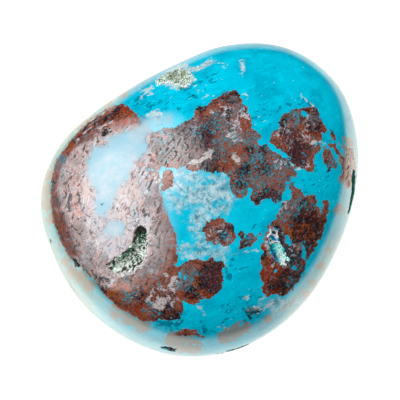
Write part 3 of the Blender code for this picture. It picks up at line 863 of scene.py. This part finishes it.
class Noises:                                   # noise in space, in millimetres, smooth or combed
    def __init__(self, tree):
        self.tree = tree
        place = tree.add("ShaderNodeTexCoord", output="Object")
        self.place = tree.add("ShaderNodeVectorMath", {"operation": "SCALE"}, {0: place, "Scale": 1 / mm})
        self.ring = tree.field("ring", "Vector")

    def cloud(self, scale, detail=2.0, rough=0.55, twist=0.0, place=None):
        inputs = {"Vector": place or self.place, "Scale": scale, "Detail": detail, "Roughness": rough,
                  "Distortion": twist}
        return self.tree.add("ShaderNodeTexNoise", None, inputs)

    def combed(self, way, stretch):             # places stretched along a compass direction
        inputs = {"Vector": self.place, "Rotation": (0, 0, math.radians(way)), "Scale": (stretch, 1, 1)}
        return self.tree.add("ShaderNodeMapping", {"vector_type": "TEXTURE"}, inputs)

    # painted light and shade: the noise is read as bumps lit from the upper left, positive on their lit
    # slopes
    def embossLighting(self, scale, detail, rough, twist, place=None, step=0.06):
        place = place or self.place             # positive on slopes that face the upper left
        sides = [self.tree.add("ShaderNodeVectorMath", {"operation": "ADD"}, {0: place, 1: shift})
                 for shift in ((-step, step, 0), (step, -step, 0))]
        high, low = (self.cloud(scale, detail, rough, twist, side) for side in sides)
        return low - high


def turquoise(tree, noises, fine, bleached):
    c = turquoiseTones
    combed = noises.combed(27, 2.4)
    drift = noises.cloud(0.3, 3)
    grain = noises.cloud(1.2, 4, 0.62, 0.4, combed)
    colour = tree.mix(c["deep"], c["middle"], drift.over(0.36, 0.56))
    colour = tree.mix(colour, c["bright"], grain.over(0.47, 0.66) * 0.85)
    crowd = tree.field("fleck")
    flecks = (noises.cloud(2.8, 4, 0.62, 0.5, combed) + crowd * 0.08).over(0.64, 0.7) * 0.7
    hairs = noises.cloud(0.5, 3, 0.55, 0.6).ridge(0.006) * 0.25
    strokes = (tree.field("teal") + (fine - 0.5) * 0.9 + (grain - 0.5) * 1.6).over(-0.08, 0.12) * 0.75
    colour = tree.mix(colour, c["fleck"], flecks.larger(hairs).larger(strokes))
    specks = (noises.cloud(4.0, 3, 0.6, 0.2, combed) + crowd * 0.045).over(0.705, 0.75) * 0.7
    colour = tree.mix(colour, c["speck"], specks)
    # painted veil: a greyer, duller turquoise where the lamp is mirrored
    colour = tree.mix(colour, c["bleached"], bleached * 0.85)
    # painted highlight: the lamp's bright middle laid over the turquoise as a white haze
    mottle = (noises.cloud(0.9, 3) - 0.5) * 1.4 + (noises.cloud(2.4, 4, 0.7) - 0.5) * 0.9
    return tree.mix(colour, c["haze"], tree.field("haze") * (0.5 + mottle))


def quartz(tree, noises, under):
    c = quartzTones
    share = (tree.field("quartz") * 0.6 + (noises.cloud(0.9, 5, 0.64, 0.6) - 0.5) * 3.2).over(-0.4, 0.45)
    stops = [(0.38, c["shade"]), (0.49, c["middle"]), (0.58, c["light"])]
    body = tree.ramp(noises.cloud(1.5, 6, 0.76, 0.5), stops)
    body = tree.mix(body, c["shade"], tree.field("dark") * 0.7)
    return tree.mix(under, body, share * (0.82 - noises.cloud(0.8, 5, 0.7, 0.4).over(0.51, 0.59) * 0.55))


def rim(tree, noises, under):
    c = rimTones
    streaks = noises.cloud(1.3, 4, 0.62, 0.3, noises.ring)
    colour = tree.mix(c["teal"], c["mint"], streaks.over(0.44, 0.56))
    colour = tree.mix(colour, c["cyan"], noises.cloud(0.4, 3, 0.6, 0.0, noises.ring).over(0.46, 0.58) * 0.7)
    patches = noises.cloud(0.6, 5, 0.68, 0.4, noises.ring)
    colour = tree.mix(colour, c["tan"], patches.over(0.57, 0.64) * 0.8)
    colour = tree.mix(colour, c["line"], noises.cloud(1.0, 4, 0.6, 0.5, noises.ring).ridge(0.012) * 0.5)
    # partly painted: the duller teal and mint band stands in for the weaker, table-tinted light on the steep
    # rim
    skin = tree.field("skin")
    colour = tree.mix(under, colour, (skin + (streaks - 0.5) * 1.2 * skin).over(0.1, 0.75))
    tan = tree.field("tan")
    grain = noises.cloud(1.2, 6, 0.72, 0.6)
    stain = (tan * 0.65 + (streaks - 0.5) * 1.2 + (grain - 0.5) * 3.0).over(0.2, 0.5) * tan.over(0.0, 0.35)
    return tree.mix(colour, c["tan"], stain * 0.8)


def rock(tree, noises, fine, finest, bleached):
    c = rockTones
    grey = tree.field("grey")
    dark = tree.field("dark")
    worm = tree.field("worm")
    plum = tree.field("plum")
    zones = noises.cloud(1.3, 4, 0.66, 0.7)
    embossLighting = noises.embossLighting(2.3, 4, 0.66, 0.8, noises.combed(48, 1.7))
    speck = noises.cloud(5.0, 2, 0.6)
    depth = 0.5 + (zones - 0.5) * 0.8 + (finest - 0.5) * 0.35 - dark * 0.13 - plum * 0.05
    stops = [(0.31, c["black"]), (0.37, c["maroon"]), (0.44, c["brown"]), (0.5, c["rust"]), (0.62, c["rust"]),
             (0.72, c["salmon"])]
    colour = tree.ramp(depth, stops)
    red = (tree.field("red") * 0.55 + (noises.cloud(1.7, 4, 0.62) - 0.5) * 1.8).over(0.15, 0.5)
    deepRed = tree.mix(c["vermilion"], c["ochre"], noises.cloud(0.45, 3, 0.6, 0.4).over(0.46, 0.58))
    colour = tree.mix(colour, deepRed, red * depth.over(0.36, 0.5) * 0.85)
    colour = tree.mix(colour, c["plum"], (plum + (zones - 0.5) * 2).over(0.15, 0.7) * 0.8)
    labyrinth = noises.cloud(2.1, 3, 0.62, 1.4)
    slate = (worm * 0.05 + 0.028 - labyrinth.calc("ABSOLUTE", labyrinth - 0.5)).over(-0.01, 0.02)
    slate = slate.larger((zones + grey * 0.05).over(0.58, 0.66) * 0.7)
    colour = tree.mix(colour, c["slate"], slate * (0.5 + worm * 0.35 - red * 0.45) * (1 - dark * 0.7))
    leak = (noises.cloud(2.0, 3, 0.6, 1.2) + worm * 0.085).over(0.62, 0.65)
    streaks = (tree.field("growth") + (fine - 0.5) * 1.2).over(-0.05, 0.1)
    leak = leak.larger(streaks) * 0.8
    colour = tree.mix(colour, c["growth"], leak)
    colour = tree.mix(colour, c["spark"], (speck * -1 + red * 0.02).over(-0.42, -0.36) * (0.55 - dark * 0.3))
    # painted highlight: silver on the bump slopes that face the upper-left light
    lit = (embossLighting + grey * 0.01).over(0.07, 0.14) * (0.1 + grey * 0.5) * (1 - plum * 0.5)
    colour = tree.mix(colour, c["sheenSilver"], lit)
    salmon = (tree.field("salmon") + (fine - 0.5) * 1.4 + (zones - 0.5) * 0.8).over(-0.1, 0.15)
    colour = tree.mix(colour, c["salmon"], salmon * 0.8)
    crumbs = (noises.cloud(2.3, 5, 0.76, 0.6) + grey * 0.12).over(0.65, 0.69)
    colour = tree.mix(colour, c["chalk"], crumbs * (0.85 - plum * 0.6))
    grooves = noises.cloud(1.8, 4, 0.66, 0.6, noises.combed(0, 3.0))
    slab = (tree.field("slab") + (fine - 0.5) * 0.8).over(-0.05, 0.12)
    colour = tree.mix(colour, tree.mix(c["line"], c["ash"], grooves.over(0.42, 0.58)), slab * 0.85)
    # real dark pits, and painted shade on the bump slopes turned away from the light
    pitsAndShade = (speck + dark * 0.05).over(0.6, 0.66) * 0.75
    pitsAndShade = pitsAndShade.larger((embossLighting * -1 + dark * 0.025).over(0.06, 0.13) * (0.25 + dark * 0.45)) * (1 - slab)
    colour = tree.mix(colour, c["black"], pitsAndShade)

    # the part where the lamp is mirrored, greyed and washed out as a painted veil: grey-pink and lavender
    # wrinkles with painted light and shade on them, smooth pink and blue-white, and ribbons
    combed = noises.combed(62, 1.8)
    wrinkleLighting = noises.embossLighting(1.15, 5, 0.66, 1.2, combed, 0.09)
    broken = (zones - 0.5) * 1.6 + (fine - 0.5) * 1.0
    blush = (tree.field("blush") + broken).over(-0.2, 0.25)
    frost = (tree.field("frost") + broken).over(-0.2, 0.25)
    ribbon = (tree.field("ribbon") + broken).over(-0.4, 0.4)
    calm = blush.larger(frost) * 0.7
    pale = tree.mix(c["lavender"], c["pink"], noises.cloud(0.9, 4, 0.62, 0.3).over(0.46, 0.56))
    pale = tree.mix(pale, c["blueGrey"], noises.cloud(0.45, 4, 0.62, 0.8).over(0.47, 0.56) * 0.7)
    pale = tree.mix(pale, c["blush"], blush * 0.85)
    pale = tree.mix(pale, c["frost"], frost * 0.85)
    stripes = noises.cloud(0.95, 4, 0.66, 1.6, noises.combed(75, 1.4))
    stops = [(0.33, c["line"]), (0.39, c["ash"]), (0.43, c["salmon"]), (0.48, c["blush"]), (0.51, c["line"]),
             (0.54, c["slate"]), (0.58, c["salmon"]), (0.63, c["pink"]), (0.66, c["ash"]), (0.72, c["line"])]
    pale = tree.mix(pale, tree.ramp(stripes, stops), ribbon * 0.9)
    pale = tree.mix(pale, c["salmon"], salmon * 0.7)
    seams = noises.cloud(0.95, 5, 0.64, 1.2, combed).ridge(0.035) * (0.7 - calm * 0.5)
    pale = tree.mix(pale, c["salmon"], seams)
    pale = tree.mix(pale, c["growth"], leak * 0.5)
    chalk = noises.cloud(1.1, 5, 0.68, 0.9, combed).over(0.55, 0.62)
    pale = tree.mix(pale, c["chalk"], chalk * (0.7 - ribbon * 0.4))
    # painted highlight on the wrinkles' slopes that face the light
    pale = tree.mix(pale, c["sheenSilver"], wrinkleLighting.over(0.04, 0.13) * (0.8 - ribbon * 0.3) * (1 - calm))
    lines = noises.cloud(0.9, 4, 0.6, 1.3, combed).ridge(0.014)
    # painted shade: dark lines on the wrinkles' slopes turned away from the light, with real thin lines
    lines = lines.larger((wrinkleLighting * -1).over(0.05, 0.13) * (1 - calm))
    lines = lines.larger((fine * -1).over(-0.36, -0.3)) * 0.9
    shade = (tree.field("shade") + (zones - 0.5) * 1.6 + (finest - 0.5) * 1.4).over(0.2, 0.9)
    pale = tree.mix(pale, c["line"], lines.larger(shade * 0.58))
    # the painted-shade sides of the bumps, where the polish is also left off
    cracksAndShade = (embossLighting * -1 + dark * 0.03).over(0.05, 0.12) * (1 - bleached)
    return tree.mix(colour, pale, bleached * 0.9), cracksAndShade + lines * bleached


def stoneFinish():
    material, tree, shader = newFinish("polished chrysocolla", 0.6)
    noises = Noises(tree)
    fine = noises.cloud(3.2, 3, 0.6)
    finest = noises.cloud(7.0, 2, 0.6)
    # painted veil: where the lamp is mirrored, the stone's tones are greyed and washed out
    bleached = (tree.field("bleached") + (noises.cloud(0.9, 3, 0.6) - 0.5) * 2.5).over(-0.5, 0.6)
    ground = quartz(tree, noises, turquoise(tree, noises, fine, bleached))
    ground = rim(tree, noises, ground)

    rustEdge = tree.field("rust") + (noises.cloud(1.6, 3, 0.6, 0.3) - 0.5) * 0.7 + (fine - 0.5) * 0.45
    soft = bleached * 0.35
    rustShare = rustEdge.over(-0.02 - soft, 0.05 + soft)
    rocky, cracksAndShade = rock(tree, noises, fine, finest, bleached)
    ground = tree.mix(ground, rocky, rustShare)

    brushed = noises.cloud(2.6, 4, 0.64, 0.4, noises.combed(27, 2.0))
    paleEdge = tree.field("pale") + (brushed - 0.5) * 1.5 + (finest - 0.5) * 0.3
    pale = tree.mix(markTones["blueWhite"], markTones["cream"], rustShare)
    mottle = noises.cloud(3.4, 4, 0.66)
    pale = tree.mix(pale, markTones["ashen"], mottle.over(0.45, 0.58) * (0.3 + rustShare * 0.1))
    pale = tree.mix(pale, rockTones["line"], (finest * 0.6 + mottle * 0.4).over(0.54, 0.6) * rustShare * 0.7)
    ground = tree.mix(ground, pale, paleEdge.over(-0.04, 0.12) * 0.85)
    ink = (tree.field("ink") + (fine - 0.5) * 0.7).over(-0.03, 0.08)
    ground = tree.mix(ground, markTones["ink"], ink * 0.85)

    # hollows: a broken pale lip, partly a painted highlight on the rounded rim, then the wall in the hollow's
    # own colour
    inside = tree.field("rim")
    lip = (inside + (fine - 0.5) * 1.1).over(-0.45, -0.1) * tree.field("lip")
    ground = tree.mix(ground, markTones["lip"], lip * finest.over(0.34, 0.54))
    wall = tree.mix(tree.field("hollowTone", "Color"), markTones["ashen"], finest.over(0.52, 0.62) * 0.6)
    wallShare = (inside + (fine - 0.5) * 0.8).over(-0.05, 0.08) * tree.field("hollowTone", "Alpha")
    ground = tree.mix(ground, wall, wallShare)

    tree.put(shader.inputs["Base Color"], ground)
    # the polish is a coat, which cracks, the painted-shade sides of the bumps and hollow walls don't have
    shader.inputs["Specular IOR Level"].default_value = 0.0
    shader.inputs["Coat Roughness"].default_value = 0.06
    shader.inputs["Coat IOR"].default_value = 1.5
    unpolished = (cracksAndShade * rustShare * 0.8).larger(ink).larger(wallShare)
    tree.put(shader.inputs["Coat Weight"], 1 - unpolished)
    height = (1 - rustShare) * 0.25 + (fine - 0.5) * (0.25 + rustShare * 0.5) + (finest - 0.5) * 0.15
    bump = tree.add("ShaderNodeBump", None, {"Strength": 0.5, "Distance": 0.012 * mm, "Height": height})
    tree.put(shader.inputs["Normal"], bump)
    return material


skin = buildSkin()
skin.data.materials.append(stoneFinish())
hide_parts("stone")
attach(skin, "root")
print("skin:", len(skin.data.polygons), "triangles")


# Crystals in a hollow. Sizes are in millimetres. The glow of a place is (x, y, radius, tint in its
# middle), and the tones run from tint 0 to tint 1.
crusts = {
    "crescent_crust": {"hollow": "crescent", "sides": 6, "count": 680, "size": (0.12, 0.26), "seed": 3,
                       "ends": (0.2, 0.5), "across": (-1.15, 0.95), "beyond": 0.04, "scatter": 0.55,
                       "roughness": 0.22,
                       # painted shade: the dark places at the upper end (-5.9, -3.2) and along the overhung
                       # upper-left wall (-6.2, -4.1), (-7.3, -5.4) and (-8.0, -5.95) darken the crystals
                       # where the hollow lies in shadow
                       "glows": [(-5.9, -3.2, 0.65, 0.08), (-6.2, -4.1, 0.35, 0.3), (-5.5, -4.6, 0.6, 0.85),
                                 (-5.9, -5.6, 0.8, 0.9), (-6.9, -6.7, 0.9, 0.9), (-8.2, -6.7, 0.8, 0.95),
                                 (-7.6, -6.5, 0.5, 0.95),
                                 (-7.3, -5.4, 0.35, 0.0), (-8.0, -5.95, 0.3, 0.1), (-6.5, -6.2, 0.3, 0.1),
                                 (-6.1, -5.0, 0.4, 0.8)],
                       "tones": (tone(24, 32, 26), tone(62, 112, 90), tone(160, 200, 174),
                                 tone(230, 238, 230), tone(248, 250, 248))},
    "blue_crust": {"hollow": "blue", "sides": 0, "count": 900, "size": (0.06, 0.13), "seed": 6,
                   "ends": (-0.3, 0.5), "across": (-0.7, 1.1), "beyond": 0.05, "scatter": 0.12,
                   "roughness": 0.3, "net": (-4.5, 2.4, 0.2),
                   "glows": [(7.0, -3.2, 0.5, 1.0), (7.9, -3.4, 0.25, 0.3), (6.9, -4.2, 0.45, 0.95),
                             (7.0, -4.8, 0.3, 0.3), (7.4, -4.7, 0.35, 0.5), (7.9, -4.4, 0.3, 0.75),
                             (8.1, -5.0, 0.35, 0.8), (8.35, -5.7, 0.4, 0.95), (8.85, -5.1, 0.22, 0.0),
                             (7.5, -5.6, 0.4, 0.0), (8.2, -3.9, 0.25, 0.0), (8.5, -6.3, 0.4, 1.0)],
                   "tones": (tone(26, 30, 52), tone(0, 140, 204), tone(0, 208, 204), tone(176, 246, 236),
                             tone(246, 250, 254))},
    "shoulder_crust": {"hollow": "shoulder", "sides": 5, "count": 1250, "size": (0.06, 0.17), "seed": 9,
                       "ends": (-0.9, 0.9), "across": (-1.5, 1.4), "beyond": 0.4, "scatter": 0.75,
                       "roughness": 0.4,
                       "glows": [(-2.5, 12.05, 0.25, 0.0), (-3.0, 12.85, 0.4, 0.05), (-1.7, 12.9, 0.3, 0.25),
                                 (-3.6, 12.0, 0.9, 0.8), (-1.3, 11.7, 0.7, 0.9), (-2.4, 12.4, 0.5, 0.7),
                                 (-1.1, 11.4, 0.3, 0.4)],
                       "tones": (tone(22, 40, 26), tone(100, 122, 80), tone(150, 182, 166),
                                 tone(208, 226, 218), tone(248, 250, 250))},
}


crystal = {
    "lean": 0.6,                       # how far those at a hollow's side lean inwards
    "jitter": 0.45,
    "tip": 0.15,                       # width of a tip as a share of the foot
    "length": (1.2, 2.4),              # in foot radii
    "grainWidth": (0.8, 1.6),          # a round grain's other two sizes, as shares of its first
    "grainHeight": (0.7, 1.2),
}


def placeInHollow(crust, hollow, dice):         # a random point above the hollow, and how it leans
    chain = hollow["chain"]
    lengths = [(b[0] - a[0]).length for a, b in zip(chain, chain[1:])]
    along = dice.uniform(crust["ends"][0], sum(lengths) + crust["ends"][1])
    part = 0
    while part < len(lengths) - 1 and along > lengths[part]:
        along -= lengths[part]
        part += 1
    (a, aWidth), (b, bWidth), length = chain[part], chain[part + 1], lengths[part]
    point = a + (b - a) * (along / length)
    share = min(max(along / length, 0), 1)
    up = surfaceNormal(point)
    across = (b - a).cross(up).normalized()
    off = dice.uniform(*crust["across"])
    point = point + across * off * (aWidth + (bWidth - aWidth) * share)
    return point, (up - across * off * crystal["lean"]).normalized(), up


def crystalTint(crust, point, dice):
    if "net" in crust and point.y > crust["net"][0]:    # a white net with blue and dark cells
        top, frequency, width = crust["net"]
        cell = noise.noise(point * frequency)
        return 0.3 if cell > width else 0.05 if cell < -0.42 else 1.0
    tint, weight = 0.55 * 0.4, 0.4
    for x, y, radius, middle in crust["glows"]:
        near = math.exp(-((point.x - x) ** 2 + (point.y - y) ** 2) / (radius * radius))
        tint += middle * near * 3
        weight += near * 3
    return min(max(tint / weight + dice.gauss(0, crust["scatter"] / 2), 0), 1)


def buildCrust(name):
    crust = crusts[name]
    hollow = hollows[crust["hollow"]]
    dice = random.Random(crust["seed"])
    bm = bmesh.new()
    tints = bm.verts.layers.float.new("tint")
    for _ in range(crust["count"]):
        point, lean, up = placeInHollow(crust, hollow, dice)
        if insideHollow(point, hollow) < dice.uniform(-crust["beyond"], 0.02):
            continue
        size = dice.uniform(*crust["size"])
        floor = point - up * (hollowDepth(point) + size * dice.uniform(0.0, 0.5))
        jitter = Vector([dice.uniform(-crystal["jitter"], crystal["jitter"]) for _ in range(3)])
        turn = (lean + jitter).to_track_quat("Z", "Y").to_matrix().to_4x4()
        turn = Matrix.Translation(floor) @ turn @ Matrix.Rotation(dice.uniform(0, math.tau), 4, "Z")
        if crust["sides"]:
            tall = size * dice.uniform(*crystal["length"])
            made = bmesh.ops.create_cone(bm, cap_ends=True, segments=crust["sides"], radius1=size,
                                         radius2=size * crystal["tip"], depth=tall, matrix=turn)
        else:
            wide, high = (size * dice.uniform(*crystal[way]) for way in ("grainWidth", "grainHeight"))
            stretch = Matrix.Diagonal((size, wide, high, 1))
            made = bmesh.ops.create_icosphere(bm, subdivisions=2, radius=1, matrix=turn @ stretch)
        tint = crystalTint(crust, point, dice)
        for vert in made["verts"]:
            vert[tints] = tint
    piece = finishPiece(name + "_crystals", bm)
    if crust["sides"]:
        piece.data.shade_flat()
    piece.data.materials.append(crustFinish(name))
    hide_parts(name)
    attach(piece, "root")
    print(name + ":", len(piece.data.polygons), "faces")


def crustFinish(name):
    crust = crusts[name]
    material, tree, shader = newFinish(name.replace("_", " "), crust["roughness"])
    place = tree.add("ShaderNodeTexCoord", output="Object")
    grain = tree.add("ShaderNodeTexNoise", None, {"Vector": place, "Scale": 3.0 / mm, "Detail": 3.0})
    tint = tree.field("tint") + (grain - 0.5) * 0.5
    stops = [(k / (len(crust["tones"]) - 1), colour) for k, colour in enumerate(crust["tones"])]
    tree.put(shader.inputs["Base Color"], tree.ramp(tint, stops))
    return material


for name in crusts:
    buildCrust(name)


# Studio. The lights that brighten the stone are kept out of its polish, and a wide dome that only
# the polish sees gives the mirrored lamp at the upper left and the bright table round the edge.
studio = {
    "cameraHeight": 1.0,
    "fieldWidth": 0.040,
    "keyPower": 5.9, "keyPlace": (-0.30, 0.50, 0.81), "keySize": 0.35,
    "fillPower": 6.6, "fillPlace": (0.0, 0.0, 1.1), "fillSize": 0.9,
    "floorGlow": 1.0,
    "domeRadius": 0.7,
    "tableTint": (1.0, 0.97, 0.87),
    # where the mirrored table starts, and how bright it is: (compass direction, degrees from straight
    # up) and (compass direction, brightness)
    "tableEdge": [(0, 105), (8, 110), (16, 116), (30, 124), (45, 129), (69, 133), (94, 131), (119, 132),
        (124, 114), (132, 125), (154, 128), (170, 118), (178, 110), (200, 110), (207, 98), (212, 88),
        (226, 87), (240, 87), (255, 89), (274, 95), (290, 101), (305, 104), (319, 98), (330, 104),
        (337, 106), (348, 105), (360, 105)],
    "tableGlow": [(0, 3.9), (16, 2.2), (30, 1.8), (45, 1.5), (60, 1.0), (69, 0.8), (94, 0.8), (119, 1.0),
        (124, 1.7), (132, 2.1), (154, 2.1), (178, 2.9), (200, 3.3), (210, 3.8), (226, 4.6), (240, 3.6),
        (255, 3.4), (274, 2.5), (290, 2.0), (305, 1.7), (319, 2.8), (330, 2.1), (337, 2.3), (348, 3.0),
        (360, 3.9)],
    "tableSoftness": 14,
    "tableFloor": 1.5,                 # brightness straight below, from lowStart to lowEnd degrees
    "lowStart": 125, "lowEnd": 165,
    # where the mirrored lamp ends, how bright it is by direction, and by degrees from straight up
    "lampEdge": [(0, 0), (112, 0), (117, 60), (120, 66), (124, 72), (130, 92), (136, 103), (143, 112),
        (154, 116), (166, 113), (178, 102), (190, 94), (200, 92), (211, 94), (220, 92), (227, 84),
        (235, 72), (242, 62), (250, 0), (360, 0)],
    "lampWay": [(0, 0), (110, 0), (116, 0.1), (119, 0.25), (122, 0.42), (126, 0.8), (132, 1), (180, 1),
        (205, 0.85), (228, 0.62), (240, 0.2), (250, 0), (360, 0)],
    "lampGlow": [(3, 0), (6, 1.0), (9, 3.2), (13, 5.5), (18, 8.5), (25, 10.5), (45, 10.8), (58, 9.5),
        (70, 7.5), (85, 6.3), (100, 5.0), (115, 4.0)],
    "lampSoftness": 12,
}


def buildDome():
    bm = bmesh.new()
    bmesh.ops.create_icosphere(bm, subdivisions=5, radius=studio["domeRadius"] / mm)
    dome = finishPiece("studio_dome", bm)
    for use in ("camera", "diffuse", "transmission", "volume_scatter", "shadow"):
        setattr(dome, "visible_" + use, False)
    material, tree, shader = newFinish("studio dome", 1.0)
    way = tree.add("ShaderNodeTexCoord", output="Object")
    way = tree.add("ShaderNodeVectorMath", {"operation": "NORMALIZE"}, {0: way})
    parts = tree.add("ShaderNodeSeparateXYZ", None, {0: way}).socket.node.outputs
    x, y, z = (Wire(tree, part) for part in parts)
    fromTop = z.calc("ARCCOSINE", z) * math.degrees(1)
    turns = x.calc("ARCTAN2", y, x) / math.tau
    compass = turns.calc("FRACT", turns) * 360

    def table(value, name, span):
        pairs = studio[name]
        top = max(high for place, high in pairs)
        stops = [(place / span, (high / top, high / top, high / top, 1.0)) for place, high in pairs]
        return tree.ramp(value / span, stops) * top

    lower = fromTop.over(studio["lowStart"], studio["lowEnd"])
    tableGlow = table(compass, "tableGlow", 360)
    glow = tableGlow * (1 - lower) + tableGlow.smaller(studio["tableFloor"]) * lower
    glow = glow * (fromTop - table(compass, "tableEdge", 360)).over(0, studio["tableSoftness"])
    lamp = table(compass, "lampWay", 360) * table(fromTop, "lampGlow", 180)
    lamp = lamp * (table(compass, "lampEdge", 360) - fromTop).over(0, studio["lampSoftness"])
    tinted = tree.add("ShaderNodeVectorMath", {"operation": "SCALE"}, {0: studio["tableTint"], "Scale": glow})
    both = tree.add("ShaderNodeVectorMath", {"operation": "ADD"}, {0: tinted, 1: lamp})
    tree.put(shader.inputs["Emission Color"], both)
    shader.inputs["Emission Strength"].default_value = 1.0
    shader.inputs["Base Color"].default_value = (0.0, 0.0, 0.0, 1.0)
    shader.inputs["Specular IOR Level"].default_value = 0.0
    material.cycles.emission_sampling = "NONE"
    dome.data.materials.append(material)


def buildFloor():
    bm = bmesh.new()
    bmesh.ops.create_grid(bm, x_segments=1, y_segments=1, size=2.0 / mm)
    floor = finishPiece("table_top", bm)
    floor.visible_glossy = False
    material, tree, shader = newFinish("lit pale table", 0.9)
    shader.inputs["Base Color"].default_value = (0.2, 0.2, 0.2, 1)
    shader.inputs["Emission Color"].default_value = (1, 1, 1, 1)
    shader.inputs["Emission Strength"].default_value = studio["floorGlow"]
    floor.data.materials.append(material)


def addLamp(name, power, place, size):
    data = bpy.data.lights.new(name, "AREA")
    data.energy = power
    data.size = size
    lamp = bpy.data.objects.new(name, data)
    lamp.location = place
    lamp.rotation_euler = (-Vector(place)).to_track_quat("-Z", "Y").to_euler()
    lamp.visible_glossy = False
    lamp.visible_camera = False
    bpy.context.scene.collection.objects.link(lamp)


def addCamera():
    data = bpy.data.cameras.new("camera")
    distance = studio["cameraHeight"] - pebble["widestHeight"] * mm
    data.lens = data.sensor_width * distance / studio["fieldWidth"]
    data.clip_end = 10
    camera = bpy.data.objects.new("camera", data)
    camera.location = (0, 0, studio["cameraHeight"])
    bpy.context.scene.collection.objects.link(camera)
    bpy.context.scene.camera = camera


buildDome()
buildFloor()
addLamp("key", studio["keyPower"], studio["keyPlace"], studio["keySize"])
addLamp("fill", studio["fillPower"], studio["fillPlace"], studio["fillSize"])
addCamera()
world = bpy.data.worlds.new("studio")
world.use_nodes = True
world.node_tree.nodes["Background"].inputs["Strength"].default_value = 0.0
bpy.context.scene.world = world
bpy.context.scene.view_settings.view_transform = "Standard"
print("studio ready")
